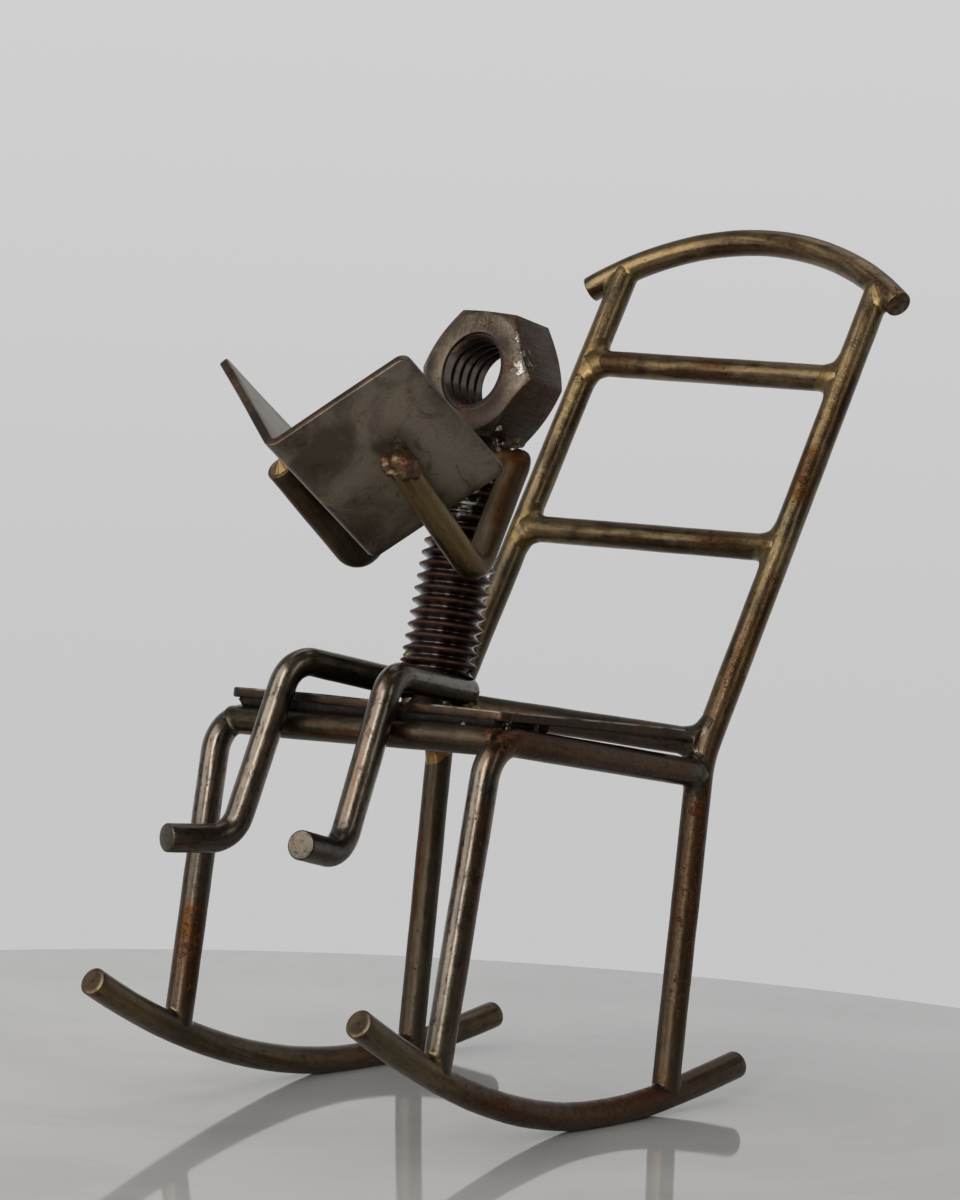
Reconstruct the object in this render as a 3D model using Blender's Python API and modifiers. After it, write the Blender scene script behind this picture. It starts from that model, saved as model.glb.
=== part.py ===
"""Scrap metal figurine: a bolt and nut reader in a rocking chair bent from round bar.

Millimetres in the numbers below, metres in the scene. +Z is up, the chair faces -Y and
the sitter's left is +X. Z = 0 is the table the rockers stand on.
"""
import math

import bmesh
import bpy
from mathutils import Matrix, Vector

MM = 0.001

# ---- stock -------------------------------------------------------------------------------
ROD_D = 2.9                # round bar that everything but the sitter's body is bent from
ROD_R = ROD_D / 2
ROD_SIDES_RES = 4          # twelve sides round the bar
GAP = 0.3                  # weld gap left between touching pieces
BEND_STEP = 15.0           # degrees turned per facet in a bend
SHEET_SEAT = 1.0           # seat sheet
SHEET_BOOK = 0.9           # book sheet

# ---- side frames, left (+X) and right (-X) ------------------------------------------------
SIDE_X = 17.5              # centre line of each side frame from the middle of the chair
LEFT = dict(
    sign=1, corner=(18.1, -22.05, 40.3), leg_foot_y=-27.0, rail_end_z=35.0,
    back_foot_y=9.2, waist=(17.5, 12.15, 36.5), lean=0.542, crest_z=86.2,
)
RIGHT = dict(
    sign=-1, corner=(18.1, -22.3, 38.7), leg_foot_y=-27.0, rail_end_z=35.3,
    back_foot_y=9.1, waist=(17.5, 11.6, 36.1), lean=0.556, crest_z=86.4,
)
CORNER_BEND = 3.9          # bend radius of the bar where leg turns into seat rail
WAIST_BEND = 9.0           # softer bend where back leg turns into back post

# ---- rockers: height over the resting line is rise d^2 + skew d^3 + ease d^4 ---------------
# flat is ground off the lowest point, so that the chair stands still under its own weight
ROCKER_LEFT = dict(rest_y=0.0, rise=8.25e-3, skew=-8.34e-5, ease=-1.757e-6, front=-38.4, back=21.2, flat=0.3)
ROCKER_RIGHT = dict(rest_y=1.6, rise=6.39e-3, skew=-4.31e-5, ease=-0.565e-6, front=-39.2, back=22.9, flat=0.38)
ROCKER_STATIONS = 20

# ---- cross pieces ---------------------------------------------------------------------------
FRONT_BAR = ((17.9, -20.6, 39.9), (-18.1, -20.6, 38.3))
REAR_BAR = ((17.5, 12.3, 38.15), (-17.5, 12.3, 38.6))
LOWER_SLAT = ((17.5, 23.8, 58.1), (-17.5, 23.65, 57.8))
UPPER_SLAT = ((17.3, 33.6, 76.05), (-17.5, 33.75, 76.3))
CREST_RADIUS = 35.9        # arch of the top rail, in the plane of the back
CREST_TOP = (-0.6, 41.6, 90.5)
CREST_ENDS = (-21.7, 20.8)  # cut ends of the top rail, across the chair

# ---- seat sheet, by three corners of its top face --------------------------------------------
SEAT_FRONT_LEFT = (18.2, -20.6, 42.95)
SEAT_FRONT_RIGHT = (-18.65, -20.6, 41.7)
SEAT_REAR_LEFT = (18.2, 9.3, 39.7)
SEAT_CORNER_R = 1.3

# ---- sitter ---------------------------------------------------------------------------------
LEG_BEND = 3.2
TOE_BEND = 3.3
LEG_LEFT = ((0.6, -5.5, 42.45), (4.3, -21.45, 45.15), (5.95, -29.5, 28.0), (7.4, -36.65, 29.65))
LEG_RIGHT = ((-5.4, -6.4, 42.4), (-8.9, -21.8, 45.6), (-10.35, -27.7, 27.45), (-12.2, -35.05, 27.8))
TORSO_BASE = (-1.5, -7.9, 44.8)
TORSO_TOP = (-1.5, -3.65, 64.1)
THREAD_CREST_D = 7.85
THREAD_ROOT_D = 6.6
THREAD_PITCH = 1.25
TORSO_SIDES = 24
SHOULDER_BEND = 1.6
ELBOW_BEND = 2.0
ARMS = (
    (6.5, -24.2, 66.05), (6.5, -12.2, 55.1), (3.9, -3.4, 66.15),
    (-6.9, -3.4, 66.15), (-9.2, -12.3, 55.15), (-9.9, -23.8, 64.65),
)
NUT_CENTRE = (-1.5, -1.7, 74.4)
NUT_AXIS = (0.0, -0.976, 0.216)
NUT_SPIN = -2.3            # degrees the nut is turned about its own axis
NUT_ACROSS_FLATS = 12.75
NUT_THICK = 6.5
NUT_CHAMFER_D = 12.5       # diameter of the face left inside the corner chamfer
NUT_CHAMFER_SLOPE = 0.585
NUT_BORE_D = 6.7
NUT_COUNTERSINK_D = 8.2
NUT_SIDES = 24

# ---- book -------------------------------------------------------------------------------------
BOOK_SPINE_TOP = (-1.35, -34.25, 67.3)
BOOK_SPINE_DIR = (0.01, 0.818, -0.575)
BOOK_LENGTH = 18.95        # along the fold
BOOK_LEFT_LEAF = 15.95      # each leaf, from the fold to its outer edge
BOOK_RIGHT_LEAF = 16.3
BOOK_LEFT_RISE = 46.4      # degrees each leaf rises from level, across the fold
BOOK_RIGHT_RISE = 37.0
BOOK_FOLD_R = 1.1
BOOK_CORNER_R = 1.0


def clear_scene():
    for obj in list(bpy.data.objects):
        bpy.data.objects.remove(obj, do_unlink=True)
    for kind in (bpy.data.meshes, bpy.data.curves, bpy.data.materials, bpy.data.collections):
        for block in list(kind):
            kind.remove(block)


def collection(name):
    found = bpy.data.collections.new(name)
    bpy.context.scene.collection.children.link(found)
    return found


def material(name, colour, roughness, metallic):
    found = bpy.data.materials.new(name)
    found.use_nodes = True
    shader = found.node_tree.nodes["Principled BSDF"]
    shader.inputs["Base Color"].default_value = (*colour, 1.0)
    shader.inputs["Roughness"].default_value = roughness
    shader.inputs["Metallic"].default_value = metallic
    return found


def add_mesh(name, mesh, holder, look):
    mesh.name = name
    mesh.materials.clear()
    mesh.materials.append(look)
    obj = bpy.data.objects.new(name, mesh)
    holder.objects.link(obj)
    return obj


def bent(corners, radii):
    """The route through these corners, each inner one rounded to its own bend radius."""
    corners = [Vector(corner) for corner in corners]
    route = [corners[0]]
    for before, here, after, radius in zip(corners, corners[1:], corners[2:], radii):
        into = (here - before).normalized()
        out = (after - here).normalized()
        turn = into.angle(out)
        reach = radius * math.tan(turn / 2)
        middle = here - into * reach
        inward = (out - into * into.dot(out)).normalized()
        centre = middle + inward * radius
        count = max(2, math.ceil(math.degrees(turn) / BEND_STEP))
        for step in range(count + 1):
            angle = turn * step / count
            route.append(centre - inward * radius * math.cos(angle) + into * radius * math.sin(angle))
    route.append(corners[-1])
    return route


def rod_mesh(name, route, diameter=ROD_D):
    """Round bar along a route, as a closed mesh with flat ends."""
    curve = bpy.data.curves.new(name, "CURVE")
    curve.dimensions = "3D"
    curve.bevel_depth = diameter / 2 * MM
    curve.bevel_resolution = ROD_SIDES_RES
    curve.use_fill_caps = True
    curve.twist_mode = "MINIMUM"
    spline = curve.splines.new("POLY")
    spline.points.add(len(route) - 1)
    for point, place in zip(spline.points, route):
        point.co = (*(Vector(place) * MM), 1.0)
    helper = bpy.data.objects.new(name, curve)
    bpy.context.scene.collection.objects.link(helper)
    bpy.context.view_layer.update()
    graph = bpy.context.evaluated_depsgraph_get()
    mesh = bpy.data.meshes.new_from_object(helper.evaluated_get(graph))
    bpy.data.objects.remove(helper, do_unlink=True)
    bpy.data.curves.remove(curve)
    tidy(mesh)
    return mesh


def tidy(mesh):
    work = bmesh.new()
    work.from_mesh(mesh)
    bmesh.ops.remove_doubles(work, verts=work.verts, dist=1e-6)
    bmesh.ops.recalc_face_normals(work, faces=work.faces)
    work.to_mesh(mesh)
    work.free()


def trim(mesh, place, outward):
    """Cuts off what lies beyond a plane and closes the cut with one flat face."""
    work = bmesh.new()
    work.from_mesh(mesh)
    found = bmesh.ops.bisect_plane(
        work, geom=work.verts[:] + work.edges[:] + work.faces[:], dist=1e-7,
        plane_co=Vector(place) * MM, plane_no=Vector(outward).normalized(), clear_outer=True,
    )
    rim = [item for item in found["geom_cut"] if isinstance(item, bmesh.types.BMEdge)]
    rim = [edge for edge in rim if edge.is_valid and len(edge.link_faces) < 2]
    bmesh.ops.edgeloop_fill(work, edges=rim)
    bmesh.ops.remove_doubles(work, verts=work.verts, dist=1e-6)
    bmesh.ops.recalc_face_normals(work, faces=work.faces)
    work.to_mesh(mesh)
    work.free()


def rocker_height(size, y):
    d = y - size["rest_y"]
    return size["rise"] * d ** 2 + size["skew"] * d ** 3 + size["ease"] * d ** 4


def rocker_point(side, size, y):
    return Vector((side["sign"] * SIDE_X, y, ROD_R - size["flat"] + rocker_height(size, y)))


def rocker_tangent(side, size, y):
    return (rocker_point(side, size, y + 0.1) - rocker_point(side, size, y - 0.1)).normalized()


def make_rocker(name, side, size, holder, look):
    span = size["back"] - size["front"]
    route = [
        rocker_point(side, size, size["front"] + span * step / ROCKER_STATIONS)
        for step in range(ROCKER_STATIONS + 1)
    ]
    mesh = rod_mesh(name, route)
    trim(mesh, (0, 0, 0), (0, 0, -1))
    return add_mesh(name, mesh, holder, look)


def on_side(side, place):
    return Vector((side["sign"] * place[0], place[1], place[2]))


def seat_end_cut(side, size, foot, along):
    """Plane just clear of the rocker under a leg: a place on it and its outward direction."""
    tangent = rocker_tangent(side, size, foot.y)
    up = (along - tangent * along.dot(tangent)).normalized()
    return foot + up * (ROD_R + GAP), -up


def make_front_leg(name, side, size, holder, look):
    """Front leg and side seat rail, one bar: up from the rocker, round the corner, back to the post."""
    corner = on_side(side, side["corner"])
    foot = rocker_point(side, size, side["leg_foot_y"])
    leg_dir = (corner - foot).normalized()
    waist = on_side(side, side["waist"])
    heel = rocker_point(side, size, side["back_foot_y"])
    share = (side["rail_end_z"] - heel.z) / (waist.z - heel.z)
    rail_end = heel.lerp(waist, share)
    mesh = rod_mesh(name, bent((foot, corner, rail_end), (CORNER_BEND,)))
    trim(mesh, *seat_end_cut(side, size, foot, leg_dir))
    back_dir = (waist - heel).normalized()
    rail_dir = (rail_end - corner).normalized()
    facing = (rail_dir - back_dir * rail_dir.dot(back_dir)).normalized()
    trim(mesh, rail_end - facing * (ROD_R + GAP), facing)
    return add_mesh(name, mesh, holder, look)


def crest_at(x):
    """Centre line of the arched top rail at this x, and its direction."""
    middle = Vector(CREST_TOP)
    up = Vector((0, LEFT["lean"] / 2 + RIGHT["lean"] / 2, 1)).normalized()
    angle = math.asin((x - middle.x) / CREST_RADIUS)
    place = middle - up * CREST_RADIUS * (1 - math.cos(angle)) + Vector((1, 0, 0)) * CREST_RADIUS * math.sin(angle)
    return place, Vector((1, 0, 0)) * math.cos(angle) - up * math.sin(angle)


def make_back_post(name, side, size, holder, look):
    """Back leg and back post, one bar bent at the seat."""
    waist = on_side(side, side["waist"])
    foot = rocker_point(side, size, side["back_foot_y"])
    top, run = crest_at(side["sign"] * SIDE_X)
    mesh = rod_mesh(name, bent((foot, waist, top), (WAIST_BEND,)))
    trim(mesh, *seat_end_cut(side, size, foot, (waist - foot).normalized()))
    post_dir = (top - waist).normalized()
    down = (run * post_dir.dot(run) - post_dir).normalized()
    trim(mesh, top + down * (ROD_R + GAP + 0.1), -down)
    return add_mesh(name, mesh, holder, look)


def make_cross_bar(name, ends, holder, look):
    """Straight bar between the two side frames, cut square just short of each."""
    left, right = Vector(ends[0]), Vector(ends[1])
    along = (right - left).normalized()
    start = left + along * (ROD_R + GAP)
    stop = right - along * (ROD_R + GAP)
    return add_mesh(name, rod_mesh(name, (start, stop)), holder, look)


def make_crest(name, holder, look):
    first, last = CREST_ENDS
    route = [crest_at(first + (last - first) * step / 18)[0] for step in range(19)]
    return add_mesh(name, rod_mesh(name, route), holder, look)


def make_seat(name, holder, look):
    front_right = Vector(SEAT_FRONT_RIGHT)
    across = Vector(SEAT_FRONT_LEFT) - front_right
    back = Vector(SEAT_REAR_LEFT) - Vector(SEAT_FRONT_LEFT)
    back -= across * across.dot(back) / across.length_squared
    up = across.cross(back).normalized()
    frame = Matrix((across.normalized(), back.normalized(), up)).transposed().to_4x4()
    work = bmesh.new()
    made = bmesh.ops.create_cube(work, size=1.0)
    bmesh.ops.scale(work, vec=Vector((across.length, back.length, SHEET_SEAT)) * MM, verts=made["verts"])
    upright = [edge for edge in work.edges if abs(edge.verts[0].co.z - edge.verts[1].co.z) > SHEET_SEAT * MM / 2]
    bmesh.ops.bevel(
        work, geom=upright, offset=SEAT_CORNER_R * MM, segments=4, profile=0.5,
        affect="EDGES", material=-1, clamp_overlap=True,
    )
    middle = front_right + across / 2 + back / 2 - up * SHEET_SEAT / 2
    frame.translation = middle * MM
    work.transform(frame)
    bmesh.ops.recalc_face_normals(work, faces=work.faces)
    mesh = bpy.data.meshes.new(name)
    work.to_mesh(mesh)
    work.free()
    return add_mesh(name, mesh, holder, look)


def turned(name, profile, sides, holder, look):
    """Solid of revolution about +Z. The profile runs down the outer side from the axis to the axis."""
    mesh = bpy.data.meshes.new(name)
    mesh.from_pydata([(r * MM, 0, z * MM) for r, z in profile], [(i, i + 1) for i in range(len(profile) - 1)], [])
    obj = add_mesh(name, mesh, holder, look)
    screw = obj.modifiers.new("turn", "SCREW")
    screw.axis = "Z"
    screw.angle = math.tau
    screw.steps = sides
    screw.render_steps = sides
    screw.use_merge_vertices = True
    screw.merge_threshold = 1e-6
    screw.show_render = screw.show_viewport
    return obj


def aim(axis, spin_from=(1, 0, 0)):
    """Rotation that takes +Z to this axis and +X as near as can be to the given direction."""
    z = Vector(axis).normalized()
    x = Vector(spin_from)
    x = (x - z * x.dot(z)).normalized()
    return Matrix((x, z.cross(x), z)).transposed()


def make_torso(name, holder, look):
    """Cut length of threaded rod, its thread as rings of V grooves."""
    base, top = Vector(TORSO_BASE), Vector(TORSO_TOP)
    length = (top - base).length
    rings = int(length / THREAD_PITCH)
    crest, root = THREAD_CREST_D / 2, THREAD_ROOT_D / 2
    profile = [(0, length), (root, length)]
    for ring in range(rings):
        upper = length - (length - rings * THREAD_PITCH) / 2 - ring * THREAD_PITCH
        profile.append((root, upper - 0.05 * THREAD_PITCH))
        profile.append((crest, upper - 0.44 * THREAD_PITCH))
        profile.append((crest, upper - 0.56 * THREAD_PITCH))
        profile.append((root, upper - 0.95 * THREAD_PITCH))
    profile += [(root, 0), (0, 0)]
    obj = turned(name, profile, TORSO_SIDES, holder, look)
    obj.location = base * MM
    obj.rotation_euler = aim(top - base).to_euler()
    return obj


def make_cone_blank(name, holder, look):
    """Both chamfered faces of a nut as one turned blank about +Z."""
    half = NUT_THICK / 2
    rim = NUT_ACROSS_FLATS / math.sqrt(3) + 0.6
    face = NUT_CHAMFER_D / 2
    drop = (rim - face) * NUT_CHAMFER_SLOPE
    profile = [(0, half), (face, half), (rim, half - drop), (rim, drop - half), (face, -half), (0, -half)]
    return turned(name, profile, 48, holder, look)


def make_bore(name, holder, look):
    half = NUT_THICK / 2
    bore = NUT_BORE_D / 2
    sink = (NUT_COUNTERSINK_D - NUT_BORE_D) / 2
    flare = NUT_COUNTERSINK_D / 2 + 0.5
    profile = [
        (0, half + 1), (flare, half + 1), (flare, half + 0.5), (bore, half - sink), (bore, sink - half),
        (flare, -half - 0.5), (flare, -half - 1), (0, -half - 1),
    ]
    return turned(name, profile, NUT_SIDES, holder, look)


def frozen(obj):
    """The object's evaluated shape as a plain mesh, in its own frame."""
    bpy.context.view_layer.update()
    graph = bpy.context.evaluated_depsgraph_get()
    mesh = bpy.data.meshes.new_from_object(obj.evaluated_get(graph))
    tidy(mesh)
    obj.modifiers.clear()
    obj.data = mesh
    return obj


def make_nut(name, holder, cutters, look):
    """Hexagon nut: prism within the chamfer blank, less its bore. It stands on one flat."""
    work = bmesh.new()
    bmesh.ops.create_cone(
        work, cap_ends=True, cap_tris=False, segments=6, radius1=NUT_ACROSS_FLATS / math.sqrt(3) * MM,
        radius2=NUT_ACROSS_FLATS / math.sqrt(3) * MM, depth=NUT_THICK * MM,
    )
    bmesh.ops.rotate(work, verts=work.verts, cent=(0, 0, 0), matrix=Matrix.Rotation(math.radians(30), 3, "Z"))
    bmesh.ops.recalc_face_normals(work, faces=work.faces)
    mesh = bpy.data.meshes.new(name)
    work.to_mesh(mesh)
    work.free()
    obj = add_mesh(name, mesh, holder, look)
    place = Matrix.Translation(Vector(NUT_CENTRE) * MM) @ (
        aim(NUT_AXIS) @ Matrix.Rotation(math.radians(NUT_SPIN), 3, "Z")
    ).to_4x4()
    # The blank and the bore are cutters: they share the nut's place and are not rendered.
    for cutter_name, maker, operation in (
        ("nut_blank", make_cone_blank, "INTERSECT"), ("nut_bore", make_bore, "DIFFERENCE"),
    ):
        cutter = frozen(maker(cutter_name, cutters, look))
        cutter.hide_render = True
        cutter.display_type = "WIRE"
        cut = obj.modifiers.new(cutter_name, "BOOLEAN")
        cut.operation = operation
        cut.solver = "EXACT"
        cut.object = cutter
        cut.show_render = cut.show_viewport
        cutter.matrix_world = place
    obj.matrix_world = place
    return obj


def rounded_leaf(near, far, length, radius):
    """Outline of one flat leaf in its own plane, from the fold out to two rounded corners."""
    outline = []
    for turn in range(4):
        angle = math.radians(-90 + 30 * turn)
        outline.append((far - radius + radius * math.cos(angle), radius + radius * math.sin(angle)))
    for turn in range(4):
        angle = math.radians(30 * turn)
        outline.append((far - radius + radius * math.cos(angle), length - radius + radius * math.sin(angle)))
    return [(near, 0.0)] + outline + [(near, length)]


def make_book(name, holder, look):
    """One sheet folded down its middle into an open book: two leaves and the bend between them."""
    spine = Vector(BOOK_SPINE_DIR).normalized()
    level = spine.cross(Vector((0, 0, 1))).normalized()
    if level.x < 0:
        level = -level
    rise = level.cross(spine)
    if rise.z < 0:
        rise = -rise
    left = math.radians(BOOK_LEFT_RISE)
    right = math.radians(BOOK_RIGHT_RISE)
    turn = left + right
    setback = BOOK_FOLD_R * math.tan(turn / 2)
    corner = Vector(BOOK_SPINE_TOP)
    out_left = level * math.cos(left) + rise * math.sin(left)
    out_right = -level * math.cos(right) + rise * math.sin(right)
    work = bmesh.new()

    def leaf(direction, width):
        ring = []
        for across, along in rounded_leaf(setback, width, BOOK_LENGTH, BOOK_CORNER_R):
            ring.append(work.verts.new((corner + direction * across + spine * along) * MM))
        work.faces.new(ring)

    leaf(out_left, BOOK_LEFT_LEAF)
    leaf(out_right, BOOK_RIGHT_LEAF)
    start = corner + out_right * setback
    normal = (rise * math.cos(right) + level * math.sin(right)).normalized()
    centre = start + normal * BOOK_FOLD_R
    steps = 6
    for step in range(steps):
        quad = []
        for at, along in ((step, 0), (step + 1, 0), (step + 1, BOOK_LENGTH), (step, BOOK_LENGTH)):
            angle = turn * at / steps
            arm = -normal * math.cos(angle) - out_right * math.sin(angle)
            quad.append(work.verts.new((centre + arm * BOOK_FOLD_R + spine * along) * MM))
        work.faces.new(quad)
    bmesh.ops.remove_doubles(work, verts=work.verts, dist=2e-6)
    bmesh.ops.recalc_face_normals(work, faces=work.faces)
    mesh = bpy.data.meshes.new(name)
    work.to_mesh(mesh)
    work.free()
    obj = add_mesh(name, mesh, holder, look)
    wall = obj.modifiers.new("sheet", "SOLIDIFY")
    wall.thickness = SHEET_BOOK * MM
    wall.offset = 0.0
    wall.use_even_offset = True
    wall.show_render = wall.show_viewport
    return frozen(obj)


def centre_on_floor(figurine, cutters):
    """Moves everything so that the origin is the middle of the underside of the bounding box."""
    bpy.context.view_layer.update()
    graph = bpy.context.evaluated_depsgraph_get()
    places = []
    for obj in figurine.objects:
        shape = obj.evaluated_get(graph)
        places += [shape.matrix_world @ vertex.co for vertex in shape.data.vertices]
    low = [min(place[axis] for place in places) for axis in range(3)]
    high = [max(place[axis] for place in places) for axis in range(3)]
    step = Vector((-(low[0] + high[0]) / 2, -(low[1] + high[1]) / 2, -low[2]))
    for obj in list(figurine.objects) + list(cutters.objects):
        obj.location += step


def main():
    clear_scene()
    figurine = collection("scrap_metal_figurine")
    cutters = collection("cutters")
    steel = (0.10, 0.085, 0.07)

    def look(name, colour=steel, roughness=0.35, metallic=1.0):
        return material(name, colour, roughness, metallic)

    for word, side, size in (("left", LEFT, ROCKER_LEFT), ("right", RIGHT, ROCKER_RIGHT)):
        make_rocker(f"rocker_{word}", side, size, figurine, look(f"rocker_{word}"))
        make_front_leg(f"front_leg_{word}", side, size, figurine, look(f"front_leg_{word}"))
        make_back_post(f"back_post_{word}", side, size, figurine, look(f"back_post_{word}"))
    for name, ends in (
        ("front_seat_bar", FRONT_BAR), ("rear_seat_bar", REAR_BAR),
        ("lower_back_slat", LOWER_SLAT), ("upper_back_slat", UPPER_SLAT),
    ):
        make_cross_bar(name, ends, figurine, look(name))
    make_crest("crest_rail", figurine, look("crest_rail"))
    make_seat("seat_plate", figurine, look("seat_plate", roughness=0.4))
    for name, corners in (("leg_left", LEG_LEFT), ("leg_right", LEG_RIGHT)):
        mesh = rod_mesh(name, bent(corners, (LEG_BEND, TOE_BEND)))
        add_mesh(name, mesh, figurine, look(name))
    make_torso("torso", figurine, look("torso", (0.09, 0.05, 0.035), 0.3))
    arms = rod_mesh("arms", bent(ARMS, (ELBOW_BEND, SHOULDER_BEND, SHOULDER_BEND, ELBOW_BEND)))
    add_mesh("arms", arms, figurine, look("arms"))
    make_nut("head_nut", figurine, cutters, look("head_nut", (0.14, 0.12, 0.10), 0.38))
    make_book("book", figurine, look("book", (0.16, 0.15, 0.14), 0.42))
    centre_on_floor(figurine, cutters)


main()
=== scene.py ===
"""Scrap metal figurine: a nut-headed reader in a rocking chair of bent round bar.

Lengths are millimetres in the part's own frame (chair facing -Y, sitter's left +X, table at
Z = 0) until a piece is finished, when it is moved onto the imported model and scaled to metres.
"""

import math

import bmesh
import bpy
import numpy as np
from bpy.props import FloatProperty, FloatVectorProperty, IntProperty, PointerProperty
from mathutils import Matrix, Vector, noise


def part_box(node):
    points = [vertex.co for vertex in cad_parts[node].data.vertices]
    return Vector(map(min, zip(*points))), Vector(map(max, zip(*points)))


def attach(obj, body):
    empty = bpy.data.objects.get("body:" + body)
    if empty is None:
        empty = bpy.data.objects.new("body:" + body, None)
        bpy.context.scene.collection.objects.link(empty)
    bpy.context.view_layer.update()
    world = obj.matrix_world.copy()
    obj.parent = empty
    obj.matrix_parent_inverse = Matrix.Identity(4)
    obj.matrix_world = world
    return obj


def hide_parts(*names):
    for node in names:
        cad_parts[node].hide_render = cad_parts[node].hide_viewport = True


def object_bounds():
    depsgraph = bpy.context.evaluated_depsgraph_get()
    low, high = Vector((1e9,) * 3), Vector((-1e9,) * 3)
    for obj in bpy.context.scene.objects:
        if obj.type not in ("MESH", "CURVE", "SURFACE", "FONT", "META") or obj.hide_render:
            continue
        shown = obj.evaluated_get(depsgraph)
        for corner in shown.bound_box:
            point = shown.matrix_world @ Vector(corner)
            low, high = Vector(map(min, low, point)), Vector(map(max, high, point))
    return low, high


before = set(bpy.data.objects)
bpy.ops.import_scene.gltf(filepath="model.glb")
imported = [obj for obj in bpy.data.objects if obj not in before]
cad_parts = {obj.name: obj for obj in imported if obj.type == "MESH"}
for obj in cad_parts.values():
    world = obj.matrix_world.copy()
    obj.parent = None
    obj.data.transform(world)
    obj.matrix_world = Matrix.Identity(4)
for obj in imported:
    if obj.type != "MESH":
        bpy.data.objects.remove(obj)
CAD_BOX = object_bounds()

bl_info = {
    "name": "Scrap metal figurine",
    "version": (1, 0, 0),
    "blender": (4, 5, 0),
    "location": "3D View > Sidebar > Figurine",
    "description": "Builds a welded reader in a rocking chair of round bar",
    "category": "Object",
}

MM = 0.001

# ---- the chair, as it is bent ----------------------------------------------------------------
BAR_WIDTH = 2.9
SIDE_X = 17.5
SIDES = {
    "left": {
        "sign": 1, "corner": (18.1, -22.05, 40.3), "leg_foot_y": -27.0, "rail_end_z": 35.0,
        "back_foot_y": 9.2, "waist": (17.5, 12.15, 36.5),
        "rest_y": 0.0, "rise": 8.25e-3, "skew": -8.34e-5, "ease": -1.757e-6, "front": -38.4, "back": 21.2,
        "flat": 0.3,
    },
    "right": {
        "sign": -1, "corner": (18.1, -22.3, 38.7), "leg_foot_y": -27.0, "rail_end_z": 35.3,
        "back_foot_y": 9.1, "waist": (17.5, 11.6, 36.1),
        "rest_y": 1.6, "rise": 6.39e-3, "skew": -4.31e-5, "ease": -0.565e-6, "front": -39.2, "back": 22.9,
        "flat": 0.38,
    },
}
CROSS_BARS = {
    "front_seat_bar": ((17.9, -20.6, 39.9), (-18.1, -20.6, 38.3)),
    "rear_seat_bar": ((17.5, 12.3, 38.15), (-17.5, 12.3, 38.6)),
    "lower_back_slat": ((17.5, 23.8, 58.1), (-17.5, 23.65, 57.8)),
    "upper_back_slat": ((17.3, 33.6, 76.05), (-17.5, 33.75, 76.3)),
}
LEG_BENDS = (3.9,)
POST_BENDS = (9.0,)
FOOT_SINK = 0.4            # how far a leg starts inside its rocker's centre line
CREST_RADIUS = 35.9
CREST_TOP = Vector((-0.6, 41.6, 90.5))
CREST_ENDS = (-21.7, 20.8)
BACK_LEAN = 0.549
SEAT_THICK = 1.0
SEAT_CORNER = 1.3
SEAT_FRONT_LEFT = Vector((18.2, -20.6, 42.95))
SEAT_FRONT_RIGHT = Vector((-18.65, -20.6, 41.7))
SEAT_REAR_LEFT = Vector((18.2, 9.3, 39.7))
# Painted shade: dark rods laid along the gaps between the seat sheet and the front bar and left rail
SEAT_GAP_SHADES = {
    "front_seat_gap_shade": ((-16.8, -20.25, 40.31), (17.4, -20.25, 41.6)),
    "left_seat_gap_shade": ((17.2, -19.8, 41.62), (16.9, -12.5, 40.75)),
}
GAP_SHADE_WIDTH, GAP_SHADE_DENTS = 1.15, 0.16

# ---- the sitter --------------------------------------------------------------------------------
LEGS = {
    "left": ((0.6, -5.5, 42.45), (4.3, -21.45, 45.15), (5.95, -29.5, 28.0), (7.4, -36.65, 29.65)),
    "right": ((-5.4, -6.4, 42.4), (-8.9, -21.8, 45.6), (-10.35, -27.7, 27.45), (-12.2, -35.05, 27.8)),
}
SITTER_LEG_BENDS = (3.2, 3.3)
TORSO_BASE = Vector((-1.5, -7.9, 44.8))
TORSO_TOP = Vector((-1.5, -3.65, 64.1))
SUNK_BELOW, SUNK_ABOVE = 0.4, 0.6        # how far the rod runs on past its base and its top
ARMS = (
    (6.5, -24.2, 66.05), (6.5, -12.2, 55.1), (3.9, -3.4, 66.15),
    (-6.9, -3.4, 66.15), (-9.2, -12.3, 55.15), (-9.9, -23.8, 64.65),
)
ARM_BENDS = (2.0, 1.6, 1.6, 2.0)
PINCH_AWAY, PINCH_PUSH, PINCH_SPREAD = 1.2, 0.5, 1.3     # corner hammered onto each shoulder bend
NUT_CENTRE = Vector((-1.5, -1.7, 74.4))
NUT_AXIS = Vector((0.0, -0.976, 0.216)).normalized()
NUT_SPIN = math.radians(-2.3)

# ---- the book ----------------------------------------------------------------------------------
SPINE_TOP = Vector((-1.35, -34.25, 67.3))
SPINE = Vector((0.01, 0.818, -0.575)).normalized()
BOOK_LENGTH = 18.95
LEFT_LEAF = 15.95
RIGHT_LEAF = 16.3
LEFT_RISE = math.radians(46.4)
RIGHT_RISE = math.radians(37.0)
FOLD_R = 1.1
BOOK_THICK = 0.9
BOOK_CORNER = 1.1

# ---- the stage ---------------------------------------------------------------------------------
TABLE_RADIUS = 130.3
TABLE_DEPTH = 12
TABLE_MIDDLE = Vector((22.75, -36.54, 0))
CAMERA_PLACE = Vector((257.0, -304.06, 79.56))
SENSOR = 36.0
LAMPS = (                  # name, azimuth, elevation, distance, width and height in metres, share of the key
    ("window", 22.0, 22.0, 0.60, 0.17, 0.50, 0.47),
    ("side_window", -18.0, 28.0, 0.60, 0.44, 0.66, 0.54),
    ("right_lamp", 86.0, 24.0, 0.60, 0.06, 0.34, 0.045),
    ("ceiling", 200.0, 72.0, 0.70, 0.60, 0.60, 0.18),
)


def runs(*rows):
    """Stretches of metal as start, stop, spread and strength."""
    return [(Vector(start), Vector(stop), spread, strength) for start, stop, spread, strength in rows]


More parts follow.
